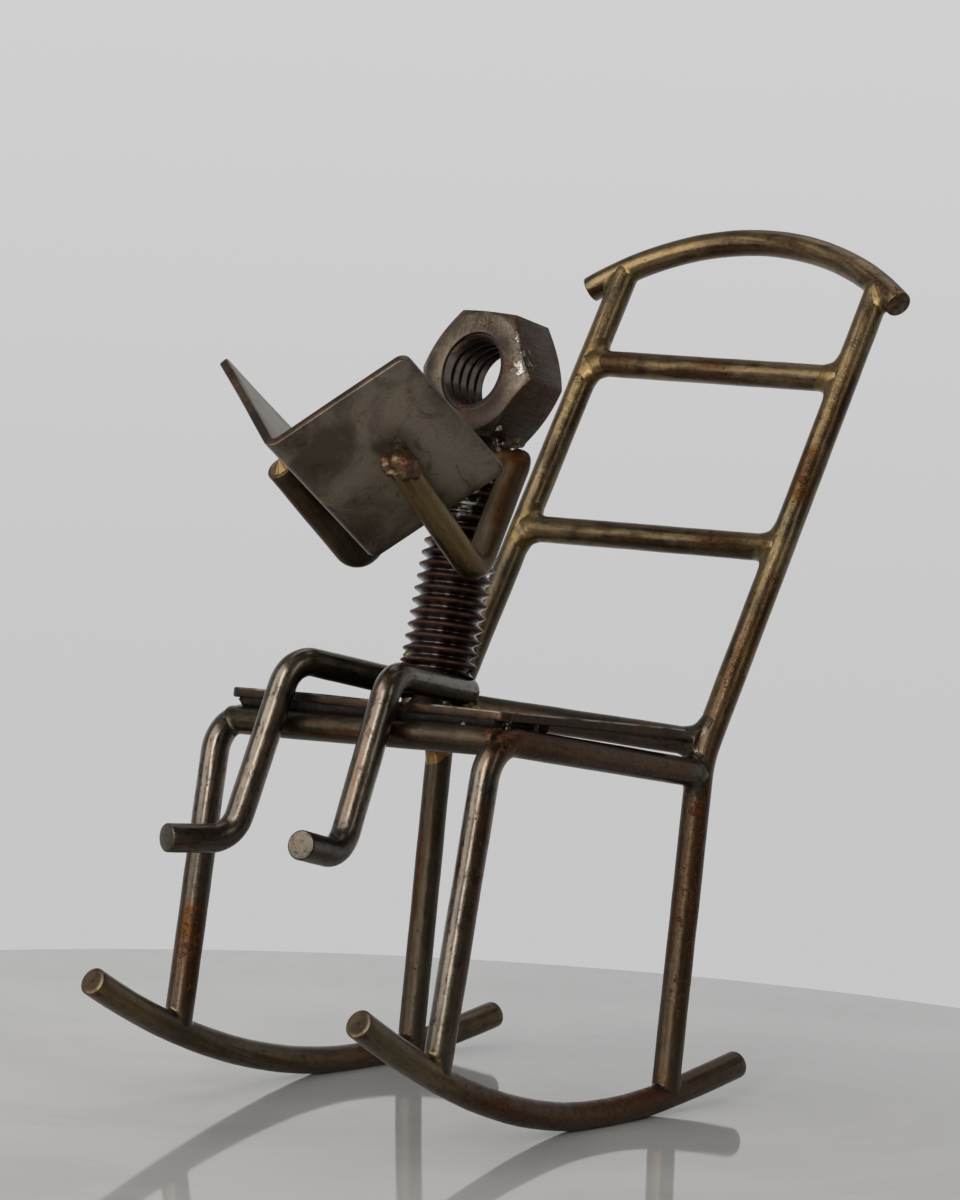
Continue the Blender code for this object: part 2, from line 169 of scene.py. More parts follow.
# ---- where the metal has aged -------------------------------------------------------------------
RUSTY = runs(
    ((17.5, -20.0, 4.8), (17.5, 6.0, 1.4), 4.0, 1.0), ((-17.5, -8.0, 2.0), (-17.5, 6.0, 1.5), 3.0, 0.5),
    ((17.6, 27.8, 67.9), (18.3, 25.8, 63.9), 1.3, 1.4), ((18.8, 21.5, 54.8), (18.8, 18.3, 49.1), 1.2, 1.0),
    ((18.8, 18.3, 49.1), (18.9, 12.5, 37.4), 1.3, 0.8), ((18.8, 33.0, 76.5), (18.6, 29.5, 70.5), 1.0, 0.7),
    ((-0.5, 32.6, 77.1), (2.0, 32.6, 77.1), 1.3, 0.9), ((-12.0, 32.3, 76.5), (-14.5, 32.3, 76.5), 2.0, 0.9),
    ((8.2, 22.5, 58.8), (12.5, 22.5, 58.8), 1.2, 0.9), ((19.5, -22.0, 40.6), (19.0, -13.0, 39.4), 2.8, 1.3),
    ((19.0, -12.0, 39.2), (19.1, 8.0, 36.0), 3.2, 0.95), ((18.8, 11.1, 33.5), (18.9, 10.0, 9.0), 1.6, 0.85),
    ((-16.9, -26.4, 18.5), (-16.5, -26.2, 11.0), 2.0, 1.3),
    ((19.3, -23.6, 34.0), (19.2, -26.0, 8.0), 1.0, 0.8),
    ((5.5, -7.0, 63.6), (6.6, -9.0, 60.5), 0.8, 1.2), ((5.6, -3.8, 66.6), (-5.5, -3.4, 67.7), 1.7, 1.6),
    ((4.0, 1.5, 70.0), (5.5, 0.0, 73.0), 3.0, 0.8), ((-2.0, -21.9, 38.4), (7.0, -21.9, 38.8), 1.4, 0.6),
    ((5.0, -27.0, 36.0), (5.6, -30.3, 29.0), 1.0, 0.3), ((17.5, 13.0, 3.5), (17.5, 20.0, 6.0), 2.4, 0.7),
    ((19.5, 39.2, 88.6), (21.0, 39.2, 87.0), 2.6, 0.7), ((-6.0, 40.8, 89.2), (6.0, 40.8, 89.2), 1.8, 0.6),
)
DULL = runs(
    ((-17.5, 9.2, 2.0), (-17.5, 11.4, 33.0), 4.0, 1.0), ((17.2, 9.2, 4.0), (17.2, 11.6, 33.0), 4.0, 0.8),
    ((-17.6, -26.8, 8.0), (-17.9, -24.6, 24.0), 4.5, 0.9), ((17.5, -36.0, 12.0), (17.5, 18.0, 4.0), 3.0, 0.4),
    ((8.0, -34.0, 28.6), (7.0, -31.5, 28.3), 4.0, 0.7),
    ((-12.2, -35.0, 27.8), (-11.0, -30.0, 27.6), 4.0, 0.6),
    ((-17.5, 12.5, 38.0), (-17.5, 21.0, 53.0), 2.5, 0.7),
    ((-12.0, -20.6, 38.6), (15.0, -20.6, 39.6), 2.5, 0.8),
    ((6.0, -11.0, 57.5), (4.0, -4.0, 66.0), 2.5, 0.8),
    ((-17.5, 12.3, 38.6), (17.5, 12.3, 38.2), 2.5, 0.7), ((-9.9, -23.8, 64.6), (-9.0, -12.3, 55.2), 3.0, 0.8),
)

# ---- tones of the metal beside the colours a user would change ----------------------------------
GLAZE = (0.066, 0.026, 0.007)
DULL_STEEL = (0.060, 0.050, 0.037)
SPECK = (0.018, 0.013, 0.010)
SAWN_DARK, SAWN_LIGHT = (0.028, 0.019, 0.013), (0.054, 0.037, 0.024)
TINT_PURPLE = (0.060, 0.030, 0.027)
SHEET_STAIN = (0.075, 0.040, 0.028)
SHEET_BRONZE = (0.070, 0.038, 0.023)
SHEET_BORDER = (0.032, 0.022, 0.016)
# worn steel that also paints a highlight along the seat sheet's top bevel
SHEET_WORN_HIGHLIGHT = (0.36, 0.31, 0.24)
CUT_DARK, CUT_RUSTY = (0.022, 0.014, 0.009), (0.090, 0.038, 0.014)
SEAT_BROWN = (0.098, 0.060, 0.036)
BOOK_LIGHT, BOOK_DARK = (0.290, 0.243, 0.184), (0.115, 0.088, 0.062)
GAP_SHADE_BROWN = (0.020, 0.011, 0.007)
CREST_DARK, CREST_LIGHT = (0.038, 0.015, 0.009), (0.080, 0.041, 0.026)
GROOVE_BROWN = (0.026, 0.010, 0.006)
THREAD_SILVER = (0.40, 0.38, 0.35)
SIDE_DARK, SIDE_LIGHT = (0.030, 0.022, 0.016), (0.110, 0.084, 0.062)
SIDE_RUST, SIDE_SHADE = (0.072, 0.029, 0.013), (0.026, 0.018, 0.013)
FACE_DARK, FACE_LIGHT = (0.040, 0.029, 0.020), (0.106, 0.080, 0.054)
FACE_PIT, FACE_GLINT, FACE_LOWER_DARK = (0.035, 0.024, 0.017), (0.26, 0.225, 0.18), (0.030, 0.019, 0.013)
EDGE_LOW, EDGE_HIGH = (0.115, 0.062, 0.028), (0.090, 0.030, 0.012)
# painted shade inside the nut's bore
BORE_SHADE = (0.016, 0.011, 0.009)
NUT_BRONZE = (0.10, 0.04, 0.025)
NUT_SILVER = (0.34, 0.32, 0.295)
WELD_DARK, WELD_LIGHT = (0.024, 0.018, 0.012), (0.066, 0.050, 0.031)
WELD_GOLD, WELD_SILVER, WELD_BURNT = (0.22, 0.125, 0.032), (0.34, 0.32, 0.29), (0.022, 0.011, 0.007)

# share bronzed and flecked with rust, then roughness, lacquer and how far the skin is rubbed light
BAR_LOOKS = {
    "bar rocker": (0.62, 0.27, 0.34, 0.12, 0.09),
    "bar side": (0.35, 0.22, 0.30, 0.95, 0.03),
    "bar bronzed": (0.85, 0.28, 0.34, 0.2, 0.0),
    "bar dark": (0.45, 0.22, 0.30, 0.35, 0.0),
    "bar worn": (0.25, 0.2, 0.30, 0.8, 0.03),
    "bar arms": (1.0, 0.2, 0.42, 0.06, 0.0),
}
BRAZE_LEAST, BRAZE_GAIN = 0.45, 0.7      # least strength of a weld's heat tint, and what its brass adds
WELD_LIFT = 1.1            # how far along the bar a weld's heat starts from the joint
BAR_END_BRASS = {
    "front_seat_bar": 0.1, "rear_seat_bar": 0.25, "lower_back_slat": 0.5, "upper_back_slat": 0.6,
}
SITTER_HEATS = (           # centre, spread and strength
    ((7.2, -25.2, 65.9), 3.2, 0.9), ((-9.6, -24.0, 65.2), 2.6, 0.9), ((-1.5, -3.4, 67.4), 4.5, 0.75),
    ((-1.0, -6.8, 44.3), 3.2, 0.5), ((-17.5, 11.0, 32.6), 3.3, 1.0), ((17.5, 13.2, 40.0), 5.5, 0.62),
    ((17.5, 17.0, 47.0), 5.0, 0.5),
)
NUT_HEATS = (((0.5, -6.3, 0), 3.4, 0.9), ((3.7, -6.0, 0.8), 2.2, 0.6), ((6.6, 0, 3), 2.0, 0.45))
NUT_SMEARS = runs(
    ((4.4, 5.0, 3.2), (6.1, 1.6, 3.2), 0.6, 0.62), ((6.0, 1.5, 3.2), (6.4, 0.5, 3.1), 0.7, 1.0),
    ((-5.6, 1.0, 3.2), (-5.2, -1.5, 3.2), 0.9, 0.6), ((1.5, -6.2, 2.9), (0.0, -6.3, 2.0), 0.8, 0.8),
)
TORSO_SMEARS = runs(
    ((1.8, -5.7, 63.8), (0.5, -7.7, 60.9), 1.4, 0.75), ((0.5, -8.5, 56.0), (1.0, -10.0, 48.0), 1.2, 0.2),
)
TORSO_DROPS = (            # beads on the thread above its base, with their reach
    ((-4.8, -9.6, 45.9), 0.8), ((1.5, -5.4, 45.0), 0.9), ((1.7, -5.0, 46.4), 0.8), ((1.8, -4.8, 47.7), 0.7),
)
LEFT_HAND_LUMPS = (        # balls of melt round the end of the left hand, with their radius
    ((-1.0, -0.86, -0.33), 0.72), ((-0.3, -0.3, 0.95), 0.55), ((0.5, 0.45, 0.8), 0.6),
    ((1.15, 0.99, -0.76), 0.8), ((-1.2, -1.0, 0.3), 0.45), ((0.2, -0.6, 0.3), 0.95),
    ((0.7, 0.1, -0.9), 0.85), ((-0.5, -0.9, -1.0), 0.4),
)
THREAD_FLANKS = (          # share of the thread's depth, and of its pitch
    (0.0, 0.0), (0.03, 0.06), (0.12, 0.11), (0.90, 0.42), (0.98, 0.465), (1.0, 0.50),
    (0.98, 0.535), (0.90, 0.58), (0.12, 0.89), (0.03, 0.94), (0.0, 1.0),
)
BORDER_SPREAD = 1.2        # width of the dark border of a sheet
SHEET_COAT, THREAD_COAT = 0.12, 0.55     # lacquer
HEX_TURNS = (math.pi / 6, math.pi / 2, math.pi * 5 / 6)
CHAMFER_SLOPE = 0.585      # fall of the nut's chamfer for each millimetre outwards

bar_low, bar_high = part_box("front_seat_bar")
bar_left, bar_right = (Vector(end) for end in CROSS_BARS["front_seat_bar"])
ONTO_MODEL = (bar_low + bar_high) / 2 / MM - (bar_left + bar_right) / 2


# ---- settings a user would change ----------------------------------------------------------------
class FigurineShape(bpy.types.PropertyGroup):
    """Stock and forging of the figurine, in millimetres."""

    bar_width: FloatProperty(name="Bar width", description="Diameter of the round bar", default=BAR_WIDTH)
    bar_sides: IntProperty(name="Bar sides", description="Faces round the bar", default=32, min=8)
    dents: FloatProperty(
        name="Dents", description="How far forging has pushed the bar out of true", default=0.035,
    )
    seat_sheet: FloatProperty(
        name="Seat sheet", description="Thickness of the seat sheet", default=SEAT_THICK,
    )
    book_sheet: FloatProperty(
        name="Book sheet", description="Thickness of the book sheet", default=BOOK_THICK,
    )
    nut_flats: FloatProperty(name="Across flats", description="Nut size across its flats", default=12.75)
    nut_thick: FloatProperty(name="Nut thickness", description="Thickness of the nut", default=6.5)
    thread_crest: FloatProperty(name="Thread crest", description="Diameter over the thread", default=7.85)
    thread_root: FloatProperty(
        name="Thread root", description="Diameter in the thread's groove", default=6.35,
    )
    thread_pitch: FloatProperty(
        name="Thread pitch", description="Rise of the thread in one turn", default=1.25,
    )
    weld_detail: IntProperty(
        name="Weld detail", description="Subdivisions of a weld bead", default=5, min=3, max=6,
    )


class FigurineColours(bpy.types.PropertyGroup):
    """Finishes of the metal."""

    steel_dark: FloatVectorProperty(
        name="Dark steel", description="Oxide skin of the bar", subtype="COLOR",
        default=(0.036, 0.027, 0.016),
    )
    steel_light: FloatVectorProperty(
        name="Worn steel", description="Bar where the oxide is rubbed thin", subtype="COLOR",
        default=(0.100, 0.075, 0.048),
    )
    bronze: FloatVectorProperty(
        name="Bronze tint", description="Lacquer and heat tint", subtype="COLOR",
        default=(0.188, 0.126, 0.055),
    )
    brass: FloatVectorProperty(
        name="Brass", description="Brazing metal", subtype="COLOR",
        default=(0.140, 0.088, 0.029),
    )
    copper: FloatVectorProperty(
        name="Copper", description="Hot, reddened brazing metal", subtype="COLOR",
        default=(0.13, 0.056, 0.030),
    )
    rust: FloatVectorProperty(
        name="Rust", description="Rust flecks", subtype="COLOR",
        default=(0.084, 0.024, 0.009),
    )
    # Soot in the thread's grooves, and painted shade: the seat sheet's underside and the rods filling the
    # gaps under it take this near-black colour
    soot: FloatVectorProperty(
        name="Soot", description="Burnt flux and grime", subtype="COLOR",
        default=(0.006, 0.005, 0.0045),
    )
    table: FloatVectorProperty(
        name="Table", description="Pale table top", subtype="COLOR",
        default=(0.37, 0.362, 0.350),
    )
    backdrop: FloatVectorProperty(
        name="Backdrop", description="Pale wall behind", subtype="COLOR",
        default=(0.63, 0.625, 0.63),
    )


class FigurineStage(bpy.types.PropertyGroup):
    """Camera and light, angles in degrees."""

    azimuth: FloatProperty(
        name="Azimuth", description="Camera turn round the chair from its front", default=40.54,
    )
    elevation: FloatProperty(name="Elevation", description="Camera height angle", default=4.02)
    roll: FloatProperty(name="Roll", description="Camera roll", default=2.95)
    lens: FloatProperty(name="Lens", description="Focal length", default=116.04)
    key: FloatProperty(name="Key light", description="Strength of the window light", default=6.0)
    fill: FloatProperty(name="Fill light", description="Strength of the room", default=1.0)


# ---- centre lines --------------------------------------------------------------------------------
def on_side(side, place):
    return Vector((side["sign"] * place[0], place[1], place[2]))


def rocker_at(side, y):
    """Centre line of a rocker at this Y."""
    d = y - side["rest_y"]
    rise = side["rise"] * d ** 2 + side["skew"] * d ** 3 + side["ease"] * d ** 4
    return Vector((side["sign"] * SIDE_X, y, BAR_WIDTH / 2 - side["flat"] + rise))


def crest_at(x):
    """Centre line of the arched top rail at this X."""
    up = Vector((0, BACK_LEAN, 1)).normalized()
    angle = math.asin((x - CREST_TOP.x) / CREST_RADIUS)
    across = Vector((1, 0, 0)) * CREST_RADIUS * math.sin(angle)
    return CREST_TOP + across - up * CREST_RADIUS * (1 - math.cos(angle))


def run_to(route, goal, spacing):
    """Adds close stations in a straight line up to the goal."""
    start = route[-1]
    count = max(1, math.ceil((goal - start).length / spacing))
    route += [start.lerp(goal, step / count) for step in range(1, count + 1)]


def bent(corners, radii, spacing=0.9, turn_step=5.0):
    """Close stations through these corners, each inner one rounded to its own bend radius."""
    corners = [Vector(corner) for corner in corners]
    route = [corners[0]]
    for before, here, after, radius in zip(corners, corners[1:], corners[2:], radii):
        into, out = (here - before).normalized(), (after - here).normalized()
        turn = into.angle(out)
        inward = (out - into * into.dot(out)).normalized()
        start = here - into * radius * math.tan(turn / 2)
        run_to(route, start, spacing)
        count = max(2, math.ceil(math.degrees(turn) / turn_step))
        for step in range(1, count + 1):
            angle = turn * step / count
            route.append(start + inward * radius * (1 - math.cos(angle)) + into * radius * math.sin(angle))
    run_to(route, corners[-1], spacing)
    return route


def rocker_route(side, steps=66):
    span = side["back"] - side["front"]
    return [rocker_at(side, side["front"] + span * step / steps) for step in range(steps + 1)]


def leg_route(side):
    """Front leg and side seat rail, one bar, from the rocker round the corner to the back post."""
    foot, corner = rocker_at(side, side["leg_foot_y"]), on_side(side, side["corner"])
    return bent((foot + (corner - foot).normalized() * FOOT_SINK, corner, rail_end(side)), LEG_BENDS)


def rail_end(side):
    heel, waist = rocker_at(side, side["back_foot_y"]), on_side(side, side["waist"])
    return heel.lerp(waist, (side["rail_end_z"] - heel.z) / (waist.z - heel.z))


def post_route(side):
    """Back leg and back post, one bar with a soft bend at the seat."""
    foot, waist = rocker_at(side, side["back_foot_y"]), on_side(side, side["waist"])
    top = crest_at(side["sign"] * SIDE_X)
    return bent((foot + (waist - foot).normalized() * FOOT_SINK, waist, top), POST_BENDS)


def crest_route(steps=50):
    first, last = CREST_ENDS
    return [crest_at(first + (last - first) * step / steps) for step in range(steps + 1)]


def cross_route(name):
    return bent(CROSS_BARS[name], ())


def sitter_leg_route(side):
    return bent(LEGS[side], SITTER_LEG_BENDS, spacing=0.6)


def arms_route():
    return bent(ARMS, ARM_BENDS, spacing=0.6)


def seat_axes():
    """The seat sheet's middle, its across, back and up directions, and its half lengths."""
    across = SEAT_FRONT_LEFT - SEAT_FRONT_RIGHT
    back = SEAT_REAR_LEFT - SEAT_FRONT_LEFT
    back -= across * across.dot(back) / across.length_squared
    up = across.cross(back).normalized()
    middle = SEAT_FRONT_RIGHT + across / 2 + back / 2 - up * SEAT_THICK / 2
    return middle, across.normalized(), back.normalized(), up, across.length / 2, back.length / 2


def book_axes():
    """Across and up directions of the open book, and the outward direction of each leaf."""
    level = SPINE.cross(Vector((0, 0, 1))).normalized()
    level = -level if level.x < 0 else level
    rise = level.cross(SPINE)
    rise = -rise if rise.z < 0 else rise
    left = level * math.cos(LEFT_RISE) + rise * math.sin(LEFT_RISE)
    right = -level * math.cos(RIGHT_RISE) + rise * math.sin(RIGHT_RISE)
    return level, rise, left, right


# ---- forging ---------------------------------------------------------------------------------------
def bisected(work, place, normal, clear=False):
    """Cuts a shape by a plane, clears what lies beyond it where asked, and returns the cut's open edges."""
    everything = work.verts[:] + work.edges[:] + work.faces[:]
    cut = bmesh.ops.bisect_plane(
        work, geom=everything, dist=1e-4, plane_co=place, plane_no=normal, clear_outer=clear,
    )
    return [item for item in cut["geom_cut"] if isinstance(item, bmesh.types.BMEdge) and item.is_boundary]


def sawn_off(work, place, normal):
    """Takes away what lies beyond a plane and closes the cut."""
    bmesh.ops.edgeloop_fill(work, edges=bisected(work, place, normal, clear=True))


def scored(work, axis, places):
    """Cuts a flat sheet into strips, so that it can be bent or pushed out of true."""
    for place in places:
        bisected(work, [place * part for part in axis], axis)


def edges_rising(work, low, high=math.inf):
    """Edges whose ends differ in height by this much."""
    return [edge for edge in work.edges if low <= abs(edge.verts[0].co.z - edge.verts[1].co.z) < high]


def edges_sharper(work, degrees):
    sharp = math.radians(degrees)
    return [edge for edge in work.edges if len(edge.link_faces) == 2 and edge.calc_face_angle() > sharp]


def bevelled(work, geom, offset, segments, affect="EDGES"):
    bmesh.ops.bevel(
        work, geom=geom, offset=offset, segments=segments, profile=0.5, affect=affect, material=-1,
        clamp_overlap=True,
    )


def drawn_profile(work, points):
    """A chain of vertices and edges through these pairs of radius and height."""
    (radius, height), *_ = points
    chain, edges = [work.verts.new((radius, 0, height))], []
    for (radius, height), (last_radius, last_height) in zip(points[1:], points):
        made = bmesh.ops.extrude_vert_indiv(work, verts=chain[-1:])
        chain += made["verts"]
        edges += made["edges"]
        bmesh.ops.translate(work, verts=made["verts"], vec=(radius - last_radius, 0, height - last_height))
    return chain + edges


def verts_among(items):
    return [item for item in items if isinstance(item, bmesh.types.BMVert)]


def marks(work, *names):
    """New layers of one number at each vertex, which the finishes read."""
    return [work.verts.layers.float.new(name) for name in names]


def turned(x, y, z):
    return Matrix((x, y, z)).transposed().to_4x4()


def carried_frames(route):
    """One frame per station, turned as little as possible from each to the next."""
    ahead = [(b - a).normalized() for a, b in zip(route, route[1:])]
    onward = [ahead[0]] + [(a + b).normalized() for a, b in zip(ahead, ahead[1:])] + [ahead[-1]]
    side = Vector((0.31, 0.2, 0.93))      # along no bar of the chair
    frames = []
    for place, run in zip(route, onward):
        side = (side - run * side.dot(run)).normalized()
        frames.append(Matrix.Translation(place) @ turned(side, run.cross(side), run))
    return frames


def forge_bar(route, width, sides, dents, seed, chamfer=0.16):
    """Round bar carried along a route from a circle, with sawn ends.

    Each vertex keeps where it is on the straight bar in "bar" (across, across, along) and
    whether it is on a sawn end in "cut"."""
    work = bmesh.new()
    straight = work.verts.layers.float_vector.new("bar")
    (sawn,) = marks(work, "cut")
    frames = carried_frames(route)
    ring = bmesh.ops.create_circle(
        work, cap_ends=False, segments=sides, radius=width / 2, matrix=frames[0],
    )["verts"]
    edges = first = work.edges[:]
    along = 0.0
    for vertex in ring:
        vertex[straight] = frames[0].inverted() @ vertex.co
    for before, after in zip(frames, frames[1:]):
        made = bmesh.ops.extrude_edge_only(work, edges=edges)["geom"]
        ring = verts_among(made)
        fresh = set(ring)
        edges = [
            item for item in made if isinstance(item, bmesh.types.BMEdge) and fresh.issuperset(item.verts)
        ]
        bmesh.ops.transform(work, matrix=after @ before.inverted(), verts=ring)
        along += (after.translation - before.translation).length
        back = after.inverted()
        for vertex in ring:
            local = back @ vertex.co
            vertex[straight] = (local.x, local.y, along)
    work.normal_update()
    for vertex in work.verts:
        place = vertex.co + Vector((seed, seed, seed))
        push = noise.noise(place * 0.22) + 0.45 * noise.noise(place * 0.8)
        vertex.co += vertex.normal * push * dents
    for rim in (first, edges):
        cap = bmesh.ops.edgeloop_fill(work, edges=rim)["faces"]
        bevelled(work, rim, chamfer, 3)
        cap = [face for face in cap if face.is_valid] or [max(work.faces, key=lambda face: len(face.verts))]
        bmesh.ops.inset_individual(work, faces=cap, thickness=0.35, depth=0.0)
        bmesh.ops.inset_individual(work, faces=cap, thickness=0.4, depth=-0.03)
        for face in cap:
            for vertex in face.verts:
                vertex[sawn] = 1.0
                for edge in vertex.link_edges:
                    edge.other_vert(vertex)[sawn] = 1.0
    return work


def stand_on_table(work):
    """Grinds away what lies under the table's height and closes the flat."""
    sawn_off(work, (0, 0, 0), (0, 0, -1))


def mark_edges(work, layer, flat):
    """Marks the vertices of a sheet's cut edges, whose faces stand square to the sheet's flat."""
    for face in work.faces:
        if abs(face.normal.dot(flat(face))) < 0.3:
            for vertex in face.verts:
                vertex[layer] = 1.0


def mark_silver(work, smears):
    """Marks where bare bright weld metal is smeared on a piece."""
    (layer,) = marks(work, "silver")
    for vertex in work.verts:
        vertex[layer] = aged_at(vertex.co, smears)


def heat_at(place, welds):
    """How strongly a place was heated by its nearest weld, from 0 to 1."""
    felt = (
        strength * math.exp(-((place - centre).length / spread) ** 2) for centre, spread, strength in welds
    )
    return max(felt, default=0.0)


def aged_at(place, stretches):
    """How strongly a place is aged by the nearest of these stretches, from 0 to about 1."""
    felt = 0.0
    for start, stop, spread, strength in stretches:
        along = stop - start
        share = min(1.0, max(0.0, (place - start).dot(along) / along.length_squared))
        felt = max(felt, strength * math.exp(-((place - start - along * share).length / spread) ** 2))
    return felt


def finish_piece(work, name, finish, nodes=(), crease=35.0, welds=()):
    """Closes a piece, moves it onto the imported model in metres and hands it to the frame."""
    heat, rusty, dull = marks(work, "heat", "rusty", "dull")
    for vertex in work.verts:
        vertex[heat] = heat_at(vertex.co, welds)
        vertex[rusty] = aged_at(vertex.co, RUSTY)
        vertex[dull] = aged_at(vertex.co, DULL)
    bmesh.ops.recalc_face_normals(work, faces=work.faces)
    work.transform(Matrix.Scale(MM, 4) @ Matrix.Translation(ONTO_MODEL))
    for face in work.faces:
        face.smooth = True
    mesh = bpy.data.meshes.new(name)
    work.to_mesh(mesh)
    work.free()
    mesh.set_sharp_from_angle(angle=math.radians(crease))
    mesh.materials.append(finish)
    piece = bpy.data.objects.new(name, mesh)
    bpy.context.scene.collection.objects.link(piece)
    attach(piece, "root")
    if nodes:
        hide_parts(*nodes)
    return piece


def forged_piece(context, name, route, look, seed, node, push=None):
    """Forges one bar of the stock, pushes it out of true where asked, and hands it in for its node."""
    shape = context.scene.figurine_shape
    work = forge_bar(route, shape.bar_width, shape.bar_sides, shape.dents, seed)
    if push:
        push(work)
    finish_piece(work, name, bar_finish(look), (node,), welds=heats())


# ---- welding -----------------------------------------------------------------------------------------
def gap_to_bar(route, width, centre, within=9.0):
    """Distance from places to the skin of a round bar near the weld's centre, and its normals."""
    near = [i for i, place in enumerate(route) if (place - centre).length < within]
    kept = route[max(0, near[0] - 1):near[-1] + 2]
    starts = np.array([list(place) for place in kept[:-1]])
    spans = np.array([list(place) for place in kept[1:]]) - starts
    lengths = (spans ** 2).sum(1)

    def gap(places):
        rel = places[:, None, :] - starts[None]
        run = (rel * spans[None]).sum(2) / lengths
        out = rel - np.clip(run, 0, 1)[..., None] * spans[None]
        reach = np.linalg.norm(out, axis=2)
        nearest = reach.argmin(1)
        rows = np.arange(len(places))
        beyond = np.maximum(-run[:, 0] * lengths[0] ** 0.5, (run[:, -1] - 1) * lengths[-1] ** 0.5)
        skin = reach[rows, nearest]
        return np.maximum(skin - width / 2, 2 * beyond), out[rows, nearest] / np.maximum(skin, 1e-6)[:, None]

    return gap


def gap_to_block(middle, axes, halves):
    """Distance from an array of places to a flat block."""
    turn = np.array([list(axis) for axis in axes])
    middle, halves = np.array(list(middle)), np.array(halves)

    def gap(places):
        over = np.abs((places - middle) @ turn.T) - halves
        return np.linalg.norm(np.maximum(over, 0), axis=1) + np.minimum(over.max(1), 0), np.zeros_like(places)

    return gap


def gap_to_nut(flats, thick):
    """Distance from an array of places to the nut's flats and faces."""
    into = np.array(nut_frame().to_3x3().transposed())
    middle = np.array(list(NUT_CENTRE))

    def gap(places):
        local = (places - middle) @ into.T
        sides = [np.abs(local[:, 0] * math.cos(turn) + local[:, 1] * math.sin(turn)) for turn in HEX_TURNS]
        beyond = np.maximum(np.max(sides, axis=0) - flats / 2, np.abs(local[:, 2]) - thick / 2)
        return beyond, np.zeros_like(places)

    return gap


def gap_to_ball(centre, radius):
    """Distance from an array of places to a ball of melt, and its normals."""
    middle = np.array(list(centre))

    def gap(places):
        out = places - middle
        far = np.linalg.norm(out, axis=1)
        return far - radius, out / np.maximum(far, 1e-6)[:, None]

    return gap


SUNK, PACE, LEAST_RADIUS = 0.06, 0.6, 0.05    # how a bead ends under the metal and closes in on it


def run_bead(
    work, centre, gaps, blend, fat, reach, lump, grain=1.6, brass=0.5, detail=4, core=0.0, copper=0.0,
    passes=48,
):
    """Lets a ball of melt flow into the corner between shapes: a bead that fills it and stands on them.

    It is blended over a distance, stands up by fat and ends at its reach. A lump is its roughness, and a
    core is a ball of melt at its own centre."""
    layers = work.verts.layers.float
    metal, red = (layers.get(name) or layers.new(name) for name in ("brass", "copper"))
    ball = bmesh.ops.create_icosphere(work, subdivisions=detail, radius=1.0)["verts"]
    rays = np.array([list(vertex.co) for vertex in ball])
    middle = np.array(list(centre))
    seed = Vector(centre) * 3.7
    swell = np.array([noise.fractal(vertex.co * grain + seed, 0.8, 2.1, 4) for vertex in ball])
    far = np.full(len(rays), float(reach))
    for _ in range(passes):
        places = middle + rays * far[:, None]
        total, facing = (far - core, np.zeros_like(rays)) if core else gaps[0](places)
        for other in gaps if core else gaps[1:]:
            level, normal = other(places)
            meet = np.maximum(blend - np.abs(total - level), 0) / blend
            corner = 1 - np.clip((facing * normal).sum(1), 0, 1)
            facing = np.where((level < total)[:, None], normal, facing)
            total = np.minimum(total, level) - corner * meet ** 3 * blend / 6
        fade = np.clip(1 - (far / reach) ** 2, 0, 1)
        total = total + SUNK - (fat + lump * swell) * fade
        far = np.maximum(far - PACE * np.maximum(total, 0), LEAST_RADIUS)
    for vertex, place in zip(ball, middle + rays * far[:, None]):
        vertex.co = place
        vertex[metal] = brass
        vertex[red] = copper
    for _ in range(1 if core else 2):
        bmesh.ops.smooth_vert(
            work, verts=ball, factor=0.5, use_axis_x=True, use_axis_y=True, use_axis_z=True,
        )


# ---- shader wiring -------------------------------------------------------------------------------------
def is_socket(value):
    return isinstance(value, bpy.types.NodeSocket)


def wire(tree, kind, into=None, **settings):
    """Adds one shader node. Settings are its own fields, into holds its inputs by name or number."""
    made = tree.nodes.new(kind)
    for field, value in settings.items():
        setattr(made, field, value)
    for socket, value in (into or {}).items():
        if is_socket(value):
            tree.links.new(value, made.inputs[socket])
        else:
            made.inputs[socket].default_value = value
    return made


def tree_of(*values):
    """The node tree of the first socket among these values."""
    return next(value.id_data for value in values if is_socket(value))


def maths(operation, a, b=0.0, c=0.0, clamp=False):
    into = {0: a, 1: b, 2: c}
    return wire(tree_of(a, b, c), "ShaderNodeMath", into, operation=operation, use_clamp=clamp).outputs[0]


def plus(a, b, clamp=False):
    return maths("ADD", a, b, clamp=clamp)


def minus(a, b):
    return maths("SUBTRACT", a, b)


def times(a, b):
    return maths("MULTIPLY", a, b)


def times_plus(a, b, c, clamp=False):
    """a times b, plus c."""
    return maths("MULTIPLY_ADD", a, b, c, clamp)


def most(a, b):
    return maths("MAXIMUM", a, b)


def least(a, b):
    return maths("MINIMUM", a, b)


def scaled(vector, by):
    into = {0: vector, "Scale": by}
    return wire(tree_of(vector, by), "ShaderNodeVectorMath", into, operation="SCALE").outputs[0]


def axis_of(vector, name):
    return wire(tree_of(vector), "ShaderNodeSeparateXYZ", {0: vector}).outputs[name]


def band(value, start, stop, low=0.0, high=1.0):
    """Smooth step of a value from low at start to high at stop."""
    into = {"Value": value, "From Min": start, "From Max": stop, "To Min": low, "To Max": high}
    return wire(tree_of(value), "ShaderNodeMapRange", into, interpolation_type="SMOOTHSTEP").outputs[0]


def mixed(share, a, b):
    """Mix of two colours. A colour may be three numbers."""
    a, b = (value if is_socket(value) else (*value[:3], 1.0) for value in (a, b))
    return wire(tree_of(share, a, b), "ShaderNodeMix", {0: share, 6: a, 7: b}, data_type="RGBA").outputs[2]


